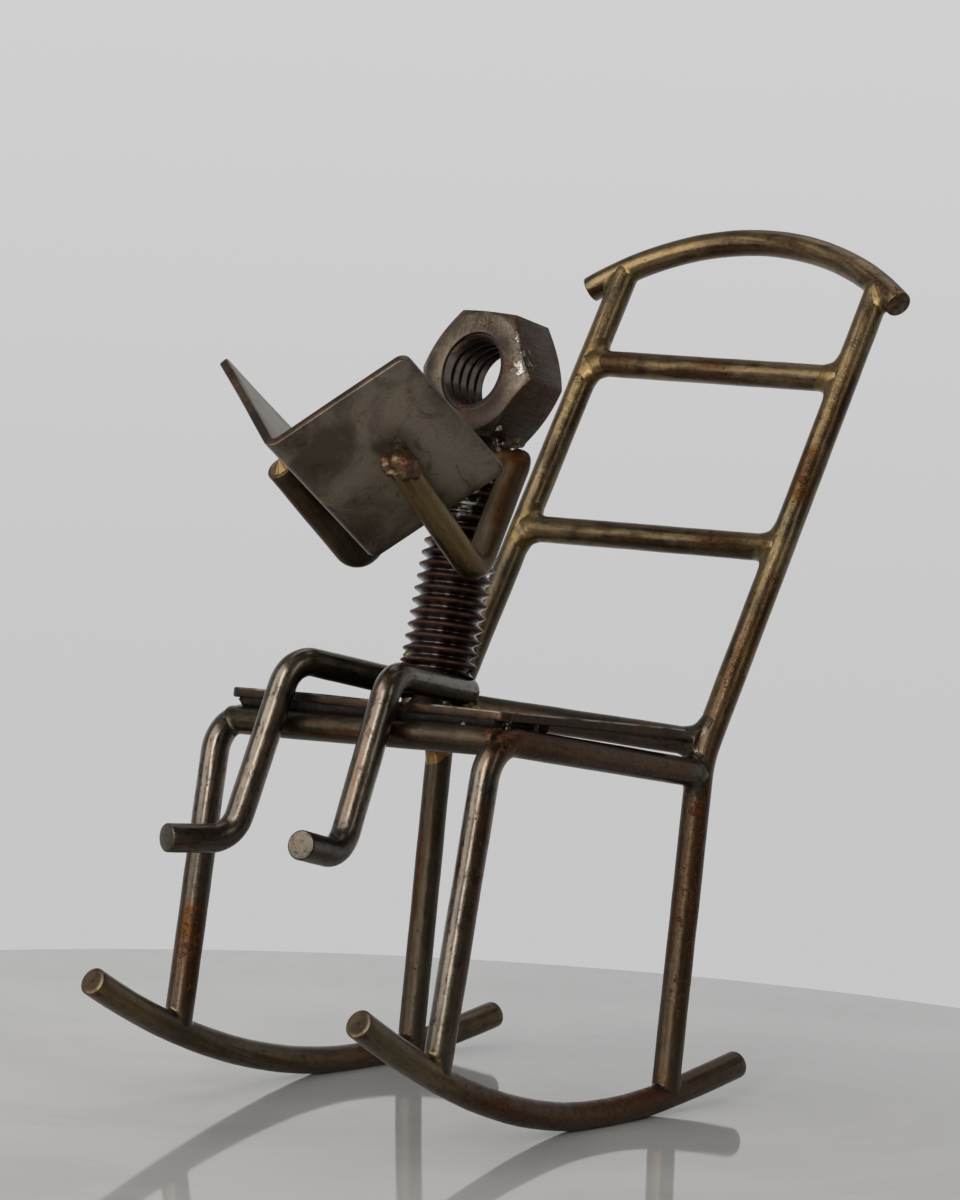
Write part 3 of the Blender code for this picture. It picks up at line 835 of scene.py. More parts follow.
def cloud(place, scale, detail=3.0, rough=0.55, twist=0.0):
    into = {"Vector": place, "Scale": scale, "Detail": detail, "Roughness": rough, "Distortion": twist}
    return wire(tree_of(place), "ShaderNodeTexNoise", into).outputs["Fac"]


def stretched(place, by):
    return wire(tree_of(place), "ShaderNodeMapping", {"Vector": place, "Scale": by}).outputs[0]


def place_in_mm(tree):
    """Object coordinates in millimetres."""
    return scaled(wire(tree, "ShaderNodeTexCoord").outputs["Object"], 1 / MM)


def attribute(tree, name, output="Fac"):
    return wire(tree, "ShaderNodeAttribute", attribute_name=name, attribute_type="GEOMETRY").outputs[output]


def effect(name, inputs, outputs):
    """An empty shader group with named sockets, its input sockets and its output node."""
    group = bpy.data.node_groups.new(name, "ShaderNodeTree")
    for title, kind, value in inputs:
        socket = group.interface.new_socket(name=title, in_out="INPUT", socket_type="NodeSocket" + kind)
        if value is not None:
            socket.default_value = value
    for title, kind in outputs:
        group.interface.new_socket(name=title, in_out="OUTPUT", socket_type="NodeSocket" + kind)
    return group, group.nodes.new("NodeGroupInput").outputs, group.nodes.new("NodeGroupOutput")


def give(out, **values):
    """Feeds a shader group's own outputs."""
    for title, value in values.items():
        out.id_data.links.new(value, out.inputs[title])


def shared(make):
    """One shader group, made the first time it is asked for."""
    name = make.__name__.replace("_", " ")
    return bpy.data.node_groups.get(name) or make()


def placed(tree, make, **inputs):
    """Puts a shared shader group in a tree, feeds it and returns its outputs."""
    return wire(tree, "ShaderNodeGroup", inputs, node_tree=shared(make)).outputs


# ---- effects that several finishes use -------------------------------------------------------------------
def rust_flecks():
    """Dark red flecks in loose patches, with the rough height they add."""
    group, given, out = effect(
        "rust flecks",
        [
            ("Place", "Vector", None), ("Amount", "Float", 0.5), ("Size", "Float", 1.0),
            ("Rust", "Color", (0.13, 0.035, 0.015, 1)),
        ],
        [("Mask", "Float"), ("Colour", "Color"), ("Height", "Float")],
    )
    place = scaled(given["Place"], given["Size"])
    patch = cloud(place, 0.23, 2.0)
    fleck = cloud(place, 1.9, 6.0, 0.68, 0.4)
    level = plus(fleck, times(patch, 0.55))
    start = minus(1.02, times(given["Amount"], 0.32))
    mask = band(level, start, plus(start, 0.055))
    shade = cloud(place, 3.1, 3.0)
    colour = mixed(band(shade, 0.35, 0.65), scaled(given["Rust"], 0.45), given["Rust"])
    give(out, Mask=mask, Colour=colour, Height=times(mask, shade))
    return group


def drawn_skin():
    """Skin of cold drawn bar: broad and fine streaks along it, worn patches and low bumps."""
    group, given, out = effect(
        "drawn skin",
        [("Bar", "Vector", None), ("Place", "Vector", None)],
        [
            ("Bands", "Float"), ("Streaks", "Float"), ("Wear", "Float"), ("Specks", "Float"),
            ("Height", "Float"),
        ],
    )
    bands = cloud(stretched(given["Bar"], (0.55, 0.55, 0.06)), 1.0, 3.0, 0.6, 0.4)
    streaks = cloud(stretched(given["Bar"], (2.4, 2.4, 0.16)), 1.6, 4.0, 0.6)
    wear = cloud(given["Place"], 0.35, 4.0, 0.62, 0.3)
    grit = cloud(given["Place"], 2.2, 4.0, 0.65)
    bumps = cloud(given["Place"], 0.9, 3.0, 0.55)
    specks = band(cloud(stretched(given["Bar"], (1.9, 1.9, 0.8)), 1.0, 5.0, 0.7), 0.53, 0.63)
    height = plus(plus(bumps, times(streaks, 0.4)), times(grit, 0.45))
    give(out, Bands=bands, Streaks=streaks, Wear=wear, Specks=specks, Height=height)
    return group


def silver_smear():
    """Bright metal smeared in ragged patches where it is marked, and the height it stands."""
    group, given, out = effect(
        "silver smear",
        [("Marked", "Float", 0.0), ("Place", "Vector", None)],
        [("Mask", "Float"), ("Height", "Float")],
    )
    ragged = cloud(given["Place"], 1.1, 5.0, 0.65, 0.6)
    mask = band(times_plus(minus(ragged, 0.5), 2.2, given["Marked"]), 0.55, 0.75)
    give(out, Mask=mask, Height=times(mask, plus(ragged, 0.6)))
    return group


def heat_tint():
    """Colours that a weld leaves on steel, from brass at the bead through bronze to a purple brown ring."""
    group, given, out = effect(
        "heat tint",
        [
            ("Heat", "Float", 0.0), ("Place", "Vector", None), ("Bronze", "Color", None),
            ("Brass", "Color", None),
        ],
        [("Colour", "Color"), ("Mask", "Float")],
    )
    ragged = plus(given["Heat"], times(minus(cloud(given["Place"], 0.9, 3.0), 0.5), 0.45))
    gold = band(ragged, 0.42, 0.80)
    purple = mixed(band(ragged, 0.16, 0.40), TINT_PURPLE, given["Bronze"])
    give(out, Colour=mixed(gold, purple, given["Brass"]), Mask=band(ragged, 0.06, 0.38))
    return group


def tinted(tree, place, base, share, bronze, brass):
    """A colour with the tints of the nearest welds over it."""
    tint = placed(
        tree, heat_tint, Heat=attribute(tree, "heat"), Place=place, Bronze=(*bronze, 1), Brass=(*brass, 1),
    )
    return mixed(times(tint["Mask"], share), base, tint["Colour"])


def flecked(tree, place, base, amount, size):
    """A colour with rust flecks over it, then their mask and their height."""
    rust = (*bpy.context.scene.figurine_colours.rust, 1)
    flecks = placed(tree, rust_flecks, Place=place, Amount=amount, Size=size, Rust=rust)
    return mixed(flecks["Mask"], base, flecks["Colour"]), flecks["Mask"], flecks["Height"]


# ---- finishes ---------------------------------------------------------------------------------------------
def metal(name, coat=0.5, coat_rough=0.14, specular=0.5):
    """A new material with an empty principled shader and its tree."""
    made = bpy.data.materials.new(name)
    made.use_nodes = True
    shader = made.node_tree.nodes["Principled BSDF"]
    for title, value in (
        ("Coat Weight", coat), ("Coat Roughness", coat_rough), ("Coat IOR", 1.5),
        ("Specular IOR Level", specular),
    ):
        shader.inputs[title].default_value = value
    return made, made.node_tree, shader


def dress(tree, shader, colour, rough, metallic, height, depth):
    """Feeds a shader its colour, roughness, metal and relief, depth in millimetres."""
    into = {"Height": height, "Distance": depth * MM, "Strength": 1.0}
    bump = wire(tree, "ShaderNodeBump", into).outputs[0]
    feeds = {"Base Color": colour, "Roughness": rough, "Metallic": metallic, "Normal": bump}
    for title, value in feeds.items():
        if is_socket(value):
            tree.links.new(value, shader.inputs[title])
        else:
            shader.inputs[title].default_value = value


def bar_finish(name):
    """Oxidised, lacquered round bar: how much is bronzed, flecked, lacquered and rubbed light."""
    found = bpy.data.materials.get(name)
    if found:
        return found
    warm, rust, rough, gloss, rubbing = BAR_LOOKS[name]
    paints = bpy.context.scene.figurine_colours
    made, tree, shader = metal(name, coat=gloss, coat_rough=0.19, specular=0.12)
    place = place_in_mm(tree)
    skin = placed(tree, drawn_skin, Bar=attribute(tree, "bar", "Vector"), Place=place)
    bands, wear, specks = skin["Bands"], skin["Wear"], skin["Specks"]
    dull, rusty = attribute(tree, "dull"), attribute(tree, "rusty")

    rubbed = times_plus(wear, 0.55, times_plus(dull, -0.12, rubbing))
    rubbed = times_plus(skin["Streaks"], 0.45, rubbed)
    base = mixed(band(rubbed, 0.34, 0.66), paints.steel_dark, paints.steel_light)
    start = 0.80 - 0.32 * warm
    bronzed = band(times_plus(wear, 0.3, bands), start, start + 0.20, 0.0, min(0.9, 0.3 + 0.6 * warm))
    base = mixed(times(bronzed, times_plus(dull, -0.9, 1.0)), base, paints.bronze)
    base = mixed(times(dull, band(bands, 0.36, 0.62, 0.25, 0.9)), base, DULL_STEEL)
    rusted = times(least(rusty, 1.0), band(wear, 0.35, 0.6, 0.45, 0.92))
    base = mixed(most(band(bands, 0.48, 0.38, 0.0, 0.65), rusted), base, GLAZE)
    base = tinted(tree, place, base, 0.8, paints.bronze, paints.brass)
    base = mixed(times(specks, 0.3 + 0.4 * gloss), base, SPECK)
    sawn = band(attribute(tree, "cut"), 0.2, 0.9)
    base = mixed(times(sawn, 0.85), base, mixed(band(wear, 0.4, 0.6), SAWN_DARK, SAWN_LIGHT))
    base, flecks, crust = flecked(tree, place, base, times_plus(rusty, 0.36, rust), 0.72)

    height = plus(skin["Height"], times(crust, 0.9))
    height = plus(height, times(sawn, cloud(place, 5.0, 3.0)))
    roughness = times_plus(wear, 0.2, times_plus(dull, 0.12, rough - 0.1))
    roughness = times_plus(most(times(flecks, 0.4), sawn), 0.25, roughness, clamp=True)
    dress(tree, shader, base, roughness, times_plus(flecks, -0.4, 0.97), height, 0.05)
    bare = most(most(specks, flecks), most(rusty, dull))
    tree.links.new(times_plus(bare, -0.9 * gloss, gloss, clamp=True), shader.inputs["Coat Weight"])
    return made


def sheet_finish(name, light, dark, warm):
    """Rolled sheet: dull, cloudy, with faint stains and rolled lines."""
    paints = bpy.context.scene.figurine_colours
    made, tree, shader = metal(name, coat=SHEET_COAT, coat_rough=0.3, specular=0.15)
    place = place_in_mm(tree)
    clouds = cloud(place, 0.17, 5.0, 0.58, 0.8)
    grain = cloud(stretched(place, (0.5, 2.2, 2.2)), 1.8, 4.0, 0.6)
    under, worn = attribute(tree, "under"), attribute(tree, "worn")

    # Darker towards the book's fold, lighter away from it
    base = mixed(band(times_plus(attribute(tree, "clean"), 0.22, clouds), 0.40, 0.74), dark, light)
    base = mixed(times(band(grain, 0.45, 0.7), 0.3), base, paints.steel_light)
    stain = band(cloud(place, 0.33, 4.0, 0.6, 0.8), 0.60 - 0.1 * warm, 0.72)
    base = mixed(times(stain, 0.5 + warm * 0.4), base, SHEET_STAIN)
    base = tinted(tree, place, base, 0.8, SHEET_BRONZE, paints.brass)
    base, flecks, crust = flecked(tree, place, base, 0.25, 1.2)
    # Painted shade: the marked underside of the sheet turns near black
    base = mixed(times(under, 0.9), base, paints.soot)
    edge = band(attribute(tree, "cut"), 0.3, 0.8)
    stained = mixed(band(cloud(place, 0.3, 5.0, 0.65), 0.44, 0.62), CUT_DARK, CUT_RUSTY)
    base = mixed(times(edge, 0.85), base, stained)
    border = times(attribute(tree, "border"), band(clouds, 0.35, 0.65, 0.75, 0.35))
    base = mixed(border, base, SHEET_BORDER)
    # Wear and painted highlight: the top bevel is painted light in patches
    base = mixed(times(worn, band(cloud(place, 0.35, 4.0), 0.40, 0.62)), base, SHEET_WORN_HIGHLIGHT)

    height = plus(times(grain, 0.5), plus(clouds, crust))
    dull = most(flecks, under)
    roughness = plus(times_plus(clouds, 0.25, 0.28), times(dull, 0.55), clamp=True)
    dress(tree, shader, base, roughness, times_plus(dull, -0.85, 0.92), height, 0.035)
    tree.links.new(times_plus(under, -SHEET_COAT, SHEET_COAT), shader.inputs["Coat Weight"])
    return made


def seam_finish():
    """Painted shade: dark lumpy filler laid in the gaps between the seat sheet and its bars, where shade
    falls.
    """
    found = bpy.data.materials.get("painted gap shade")
    if found:
        return found
    paints = bpy.context.scene.figurine_colours
    made, tree, shader = metal("painted gap shade", coat=0.0, specular=0.1)
    lumps = cloud(place_in_mm(tree), 1.4, 5.0, 0.65)
    base = mixed(band(lumps, 0.5, 0.7), paints.soot, GAP_SHADE_BROWN)
    dress(tree, shader, base, times_plus(lumps, 0.2, 0.5), 0.2, lumps, 0.15)
    return made


def thread_finish():
    """Rolled thread: rust brown along its crests, black and glossy with lacquer in its grooves."""
    paints = bpy.context.scene.figurine_colours
    made, tree, shader = metal("thread rust and lacquer", coat=THREAD_COAT, coat_rough=0.14, specular=0.3)
    place = place_in_mm(tree)
    mottle = cloud(place, 1.3, 5.0, 0.65)
    crest = band(plus(attribute(tree, "depth"), times(minus(mottle, 0.5), 0.5)), 0.35, 1.0)
    brown = mixed(band(cloud(place, 0.8, 4.0), 0.35, 0.65), CREST_DARK, CREST_LIGHT)
    base = mixed(crest, mixed(band(mottle, 0.35, 0.6), paints.soot, GROOVE_BROWN), brown)
    base = tinted(tree, place, base, 0.7, paints.bronze, paints.brass)
    smear = placed(tree, silver_smear, Marked=attribute(tree, "silver"), Place=place)
    base = mixed(smear["Mask"], base, THREAD_SILVER)
    tree.links.new(times_plus(crest, -0.42, THREAD_COAT), shader.inputs["Coat Weight"])
    height = plus(mottle, cloud(place, 4.0, 3.0))
    dress(tree, shader, base, times_plus(crest, 0.3, 0.2), times_plus(crest, -0.35, 0.85), height, 0.05)
    return made


def nut_edge_lines(local, spread, place):
    """Where the nut's edges are rubbed to rust: along its corners and round its chamfers."""
    shape = bpy.context.scene.figurine_shape
    half, flats = shape.nut_thick / 2, shape.nut_flats / 2
    first, second, third = (
        maths("ABSOLUTE", wire(
            tree_of(local), "ShaderNodeVectorMath", {0: local, 1: (math.cos(turn), math.sin(turn), 0.0)},
            operation="DOT_PRODUCT",
        ).outputs["Value"])
        for turn in HEX_TURNS
    )
    widest = most(most(first, second), third)
    narrowest = least(least(first, second), third)
    middle = minus(plus(plus(first, second), third), plus(widest, narrowest))
    rise = times_plus(spread, CHAMFER_SLOPE, maths("ABSOLUTE", axis_of(local, "Z")))
    on_flat = band(widest, flats - 0.12, flats - 0.03)
    chamfer = times(band(rise, half + 3.40, half + 3.60), on_flat)
    line = most(chamfer, band(middle, flats - 0.28, flats - 0.12))
    return times(line, band(cloud(place, 0.7, 5.0, 0.65), 0.36, 0.60, 0.15, 0.9))


def nut_finish():
    """Nut: brushed tan grey faces, dark brown flats with fine lines, rust along the edges."""
    paints = bpy.context.scene.figurine_colours
    made, tree, shader = metal("nut steel", coat=0.15, coat_rough=0.2, specular=0.2)
    place, local = place_in_mm(tree), attribute(tree, "bar", "Vector")
    down = axis_of(local, "Y")
    clouds = cloud(place, 0.4, 5.0, 0.65, 0.5)
    grit = cloud(place, 2.4, 5.0, 0.7, 0.3)

    lines = cloud(stretched(local, (3.2, 3.2, 0.14)), 1.5, 4.0, 0.65)
    streak = cloud(stretched(local, (0.9, 0.9, 0.12)), 1.0, 4.0, 0.6)
    side = mixed(band(lines, 0.30, 0.72), SIDE_DARK, SIDE_LIGHT)
    rusted = band(times_plus(clouds, 0.5, times(streak, 0.5)), 0.47, 0.58, 0.0, 0.85)
    side = mixed(rusted, side, SIDE_RUST)
    side = mixed(times(band(down, 1.0, -5.0), 0.6), side, SIDE_SHADE)

    level = stretched(local, (1.0, 1.0, 0.0))
    spread = wire(tree, "ShaderNodeVectorMath", {0: level}, operation="LENGTH").outputs["Value"]
    rings = cloud(wire(tree, "ShaderNodeCombineXYZ", {0: spread}).outputs[0], 2.6, 4.0, 0.7)
    front = mixed(band(times_plus(rings, 0.35, clouds), 0.48, 0.86), FACE_DARK, FACE_LIGHT)
    front = mixed(band(grit, 0.50, 0.66, 0.0, 0.6), front, FACE_PIT)
    front = mixed(band(grit, 0.40, 0.30, 0.0, 0.45), front, FACE_GLINT)
    # The faces turn darker towards their lower edge, in patches
    front = mixed(band(times_plus(clouds, -3.0, times(down, -1.0)), -1.8, 2.2, 0.0, 0.85), front, FACE_LOWER_DARK)

    base = mixed(band(attribute(tree, "cut"), 0.35, 0.75), side, front)
    edge_rust = mixed(band(down, -4.0, 3.0), EDGE_LOW, EDGE_HIGH)
    base = mixed(nut_edge_lines(local, spread, place), base, edge_rust)
    # Painted shade: the thread inside the bore is painted near black
    base = mixed(band(attribute(tree, "depth"), 0.3, 0.7), base, BORE_SHADE)
    base = tinted(tree, place, base, 0.6, NUT_BRONZE, paints.copper)
    base, flecks, crust = flecked(tree, place, base, 0.42, 1.1)
    smear = placed(tree, silver_smear, Marked=attribute(tree, "silver"), Place=place)
    base = mixed(times(smear["Mask"], band(grit, 0.38, 0.60, 0.35, 0.95)), base, NUT_SILVER)

    height = plus(times(lines, 0.8), plus(times_plus(grit, 0.8, clouds), crust))
    height = times_plus(smear["Height"], 2.0, height)
    roughness = plus(times_plus(clouds, 0.22, 0.26), times(flecks, 0.25), clamp=True)
    dress(tree, shader, base, roughness, times_plus(flecks, -0.7, 0.95), height, 0.04)
    return made


def braze_finish():
    """Brazing metal: brass where it is clean, copper and burnt flux where it isn't."""
    found = bpy.data.materials.get("braze")
    if found:
        return found
    paints = bpy.context.scene.figurine_colours
    made, tree, shader = metal("braze", coat=0.25, coat_rough=0.25, specular=0.2)
    place = place_in_mm(tree)
    given, copper = attribute(tree, "brass"), attribute(tree, "copper")
    steel = mixed(band(cloud(place, 0.7, 4.0), 0.35, 0.65), WELD_DARK, WELD_LIGHT)
    gold = mixed(band(given, 0.75, 0.98), paints.brass, WELD_GOLD)
    red = times(copper, band(cloud(place, 0.75, 4.0, 0.55, 0.4), 0.42, 0.58))
    clean = times_plus(minus(cloud(place, 0.8, 4.0, 0.6, 0.5), 0.5), 0.9, given)
    base = mixed(band(clean, 0.20, 0.62), steel, mixed(red, gold, paints.copper))
    silver = times(band(given, -0.25, -0.7), band(cloud(place, 0.8, 3.0), 0.46, 0.56))
    base = mixed(silver, base, WELD_SILVER)
    burnt = band(times_plus(copper, 0.05, cloud(place, 1.2, 4.0, 0.6)), 0.55, 0.70)
    base = mixed(times(burnt, 0.65), base, WELD_BURNT)
    roughness = times_plus(copper, 0.10, times_plus(burnt, 0.2, 0.36))
    relief = cloud(place, 0.75, 2.0, 0.5, 0.3)
    dress(tree, shader, base, roughness, times_plus(burnt, -0.5, 0.97), relief, 0.06)
    return made


# ---- heated places ---------------------------------------------------------------------------------------
def chair_welds():
    """Name, centre, spread of heat and share of brass of each weld in the chair."""
    found = []
    for word, side in SIDES.items():
        foot, corner = rocker_at(side, side["leg_foot_y"]), on_side(side, side["corner"])
        heel, waist = rocker_at(side, side["back_foot_y"]), on_side(side, side["waist"])
        top = crest_at(side["sign"] * SIDE_X)
        rail_brass = 0.15 if word == "left" else 0.95
        found += [
            (f"{word} front foot", foot + (corner - foot).normalized() * WELD_LIFT, 1.6, 0.40),
            (f"{word} back foot", heel + (waist - heel).normalized() * WELD_LIFT, 1.6, 0.15),
            (f"{word} rail end", rail_end(side) - Vector((0, 1.0, 0)), 2.2, rail_brass),
            (f"{word} crest", top + (waist - top).normalized() * WELD_LIFT, 3.4, 0.6),
        ]
    for name, brass in BAR_END_BRASS.items():
        left, right = (Vector(end) for end in CROSS_BARS[name])
        inward = (right - left).normalized() * WELD_LIFT
        found += [(f"{name} left", left + inward, 3.0, brass), (f"{name} right", right - inward, 3.0, brass)]
    return found


def heats():
    """Centre, spread and strength of each heated place, for finish_piece."""
    chair = [
        (centre, spread, min(1.0, BRAZE_LEAST + brass * BRAZE_GAIN))
        for _, centre, spread, brass in chair_welds()
    ]
    return chair + [(Vector(centre), spread, strength) for centre, spread, strength in SITTER_HEATS]


def nut_frame():
    """Place of the nut: its axis is local Z, and one flat is underneath."""
    x = Vector((1, 0, 0))
    x = (x - NUT_AXIS * x.dot(NUT_AXIS)).normalized()
    turn = turned(x, NUT_AXIS.cross(x), NUT_AXIS)
    return Matrix.Translation(NUT_CENTRE) @ turn @ Matrix.Rotation(NUT_SPIN, 4, "Z")


# ---- operators: one for each piece or group ------------------------------------------------------------
class FIGURINE_OT_rockers(bpy.types.Operator):
    """Two curved rockers with a small flat ground under each"""

    bl_idname = "figurine.rockers"
    bl_label = "Rockers"

    def execute(self, context):
        for seed, (word, side) in enumerate(SIDES.items(), 11):
            forged_piece(
                context, f"{word}_rocker_bar", rocker_route(side), "bar rocker", seed, f"rocker_{word}",
                push=stand_on_table,
            )
        return {"FINISHED"}


class FIGURINE_OT_side_frames(bpy.types.Operator):
    """Front legs with the side seat rails, and the back posts"""

    bl_idname = "figurine.side_frames"
    bl_label = "Side frames"

    def execute(self, context):
        for number, (word, side) in enumerate(SIDES.items()):
            leg, post = leg_route(side), post_route(side)
            forged_piece(context, f"{word}_leg_and_rail", leg, "bar side", 21 + number, f"front_leg_{word}")
            forged_piece(context, f"{word}_back_bar", post, "bar bronzed", 31 + number, f"back_post_{word}")
        return {"FINISHED"}


class FIGURINE_OT_cross_bars(bpy.types.Operator):
    """Seat bars, back slats and the arched top rail"""

    bl_idname = "figurine.cross_bars"
    bl_label = "Cross bars"

    def execute(self, context):
        for seed, name in enumerate(CROSS_BARS, 41):
            look = "bar dark" if "seat" in name else "bar bronzed"
            forged_piece(context, f"{name}_stock", cross_route(name), look, seed, name)
        forged_piece(context, "arched_top_bar", crest_route(), "bar bronzed", 51, "crest_rail")
        return {"FINISHED"}


class FIGURINE_OT_seat(bpy.types.Operator):
    """Seat sheet with softened corners and edges"""

    bl_idname = "figurine.seat"
    bl_label = "Seat sheet"

    def execute(self, context):
        thick = context.scene.figurine_shape.seat_sheet
        paints = context.scene.figurine_colours
        middle, across, back, up, half_x, half_y = seat_axes()
        work = bmesh.new()
        rim, under, worn, border = marks(work, "cut", "under", "worn", "border")
        bmesh.ops.create_cube(work, size=1.0)
        bmesh.ops.scale(work, vec=(half_x * 2, half_y * 2, thick), verts=work.verts)
        bevelled(work, edges_rising(work, 0.5), SEAT_CORNER, 6)
        bevelled(work, edges_rising(work, 0.0, 0.1), 0.2, 3)
        strips = 24
        for axis, half in (((1, 0, 0), half_x), ((0, 1, 0), half_y)):
            scored(work, axis, [-half + 2 * half * step / strips for step in range(1, strips)])
        mark_edges(work, rim, lambda face: Vector((0, 0, 1)))
        for vertex in work.verts:
            place = vertex.co
            inside = min(half_x - abs(place.x), half_y - abs(place.y))
            # Painted shade: the seat sheet's underside is marked here, to be painted near black and left
            # without lacquer
            vertex[under] = 1.0 if place.z < -0.49 * thick else 0.0
            # Wear and painted highlight: a light line is marked along the top bevel of the seat sheet
            vertex[worn] = 1.0 if 0.32 * thick < place.z < 0.485 * thick else 0.0
            vertex[border] = math.exp(-inside / BORDER_SPREAD)
            vertex.co.z += 0.07 * noise.noise(Vector((place.x, place.y, 3.0)) * 0.11)
        work.transform(Matrix.Translation(middle) @ turned(across, back, up))
        heat = [(Vector((17, -19, 42)), 3.0, 0.5), (Vector((0.0, -6.4, 42.0)), 3.4, 0.6)]
        finish = sheet_finish("sheet seat", SEAT_BROWN, paints.steel_dark, 0.5)
        finish_piece(work, "seat_sheet", finish, ("seat_plate",), welds=heat)
        return {"FINISHED"}


def pinched_shoulders(work):
    """Pushes the outside of both shoulder bends out into a corner."""
    for elbow, corner, neighbour in ((ARMS[1], ARMS[2], ARMS[3]), (ARMS[4], ARMS[3], ARMS[2])):
        corner = Vector(corner)
        outward = (Vector(elbow) - corner).normalized() + (Vector(neighbour) - corner).normalized()
        outward = -outward.normalized()
        apex = corner + outward * PINCH_AWAY
        for vertex in work.verts:
            felt = math.exp(-((vertex.co - apex).length / PINCH_SPREAD) ** 2)
            vertex.co += outward * PINCH_PUSH * felt


class FIGURINE_OT_sitter_limbs(bpy.types.Operator):
    """Both legs, and the one bar bent into shoulders, arms and hands"""

    bl_idname = "figurine.sitter_limbs"
    bl_label = "Legs and arms"

    def execute(self, context):
        for seed, word in enumerate(LEGS, 61):
            thigh = sitter_leg_route(word)
            forged_piece(context, f"{word}_thigh_shin_foot", thigh, "bar worn", seed, f"leg_{word}")
        forged_piece(
            context, "shoulders_and_arms", arms_route(), "bar arms", 71, "arms", push=pinched_shoulders,
        )
        return {"FINISHED"}


def helix(profile, pitch, turns, steps=48):
    """Thread surface: a profile one pitch long, spun up round Z."""
    work = bmesh.new()
    bmesh.ops.spin(
        work, geom=drawn_profile(work, profile), cent=(0, 0, 0), axis=(0, 0, 1), dvec=(0, 0, pitch / steps),
        angle=math.tau * turns, steps=steps * turns, use_merge=False,
    )
    bmesh.ops.remove_doubles(work, verts=work.verts, dist=0.004)
    return work


class FIGURINE_OT_torso(bpy.types.Operator):
    """Cut length of threaded rod"""

    bl_idname = "figurine.torso"
    bl_label = "Torso"

    def execute(self, context):
        shape = context.scene.figurine_shape
        root, crest, pitch = shape.thread_root / 2, shape.thread_crest / 2, shape.thread_pitch
        length = (TORSO_TOP - TORSO_BASE).length
        depth = crest - root
        profile = [(root + share * depth, rise * pitch) for share, rise in THREAD_FLANKS]
        work = helix(profile, pitch, math.ceil(length / pitch) + 3)
        bmesh.ops.translate(work, verts=work.verts, vec=(0, 0, -2 * pitch))
        (deep,) = marks(work, "depth")
        for vertex in work.verts:
            vertex[deep] = (math.hypot(vertex.co.x, vertex.co.y) - root) / depth
            nick = noise.noise(vertex.co * 1.1) * 0.06 + noise.noise(vertex.co * 0.35) * 0.05
            vertex.co.xy *= 1 + nick * (vertex[deep] ** 2) / crest
        for height, outward in ((-SUNK_BELOW, -1), (length + SUNK_ABOVE, 1)):
            sawn_off(work, (0, 0, height), (0, 0, outward))
        along = (TORSO_TOP - TORSO_BASE).normalized()
        side = Vector((1, 0, 0))
        work.transform(Matrix.Translation(TORSO_BASE) @ turned(side, along.cross(side), along))
        mark_silver(work, TORSO_SMEARS)
        heat = [
            (TORSO_BASE + Vector((-3.3, -1.7, 1.1)), 1.3, 0.7),
            (TORSO_BASE + Vector((3.0, 2.2, 0.6)), 1.9, 0.85),
        ]
        finish_piece(work, "threaded_torso", thread_finish(), ("torso",), welds=heat)
        return {"FINISHED"}


def bore_thread(half, pitch):
    """Thread ridge inside the nut as a closed helix, cut level below both faces."""
    inner, outer, shelf, inset = 3.36, 4.1, 0.09, 0.25
    middle = 0.5 * pitch
    profile = [(outer, 0.0), (inner, middle - shelf), (inner, middle + shelf), (outer, pitch)]
    ridge = helix(profile, pitch, 7)
    bmesh.ops.translate(ridge, verts=ridge.verts, vec=(0, 0, -4 * pitch))
    for height, outward in ((inset - half, -1), (half - inset, 1)):
        bisected(ridge, (0, 0, height), (0, 0, outward), clear=True)
    rims = [edge for edge in ridge.edges if edge.is_boundary]
    for vertex in verts_among(bmesh.ops.extrude_edge_only(ridge, edges=rims)["geom"]):
        vertex.co.xy = vertex.co.xy.normalized() * (outer + 0.2)
    bmesh.ops.bridge_loops(ridge, edges=[edge for edge in ridge.edges if edge.is_boundary])
    return ridge


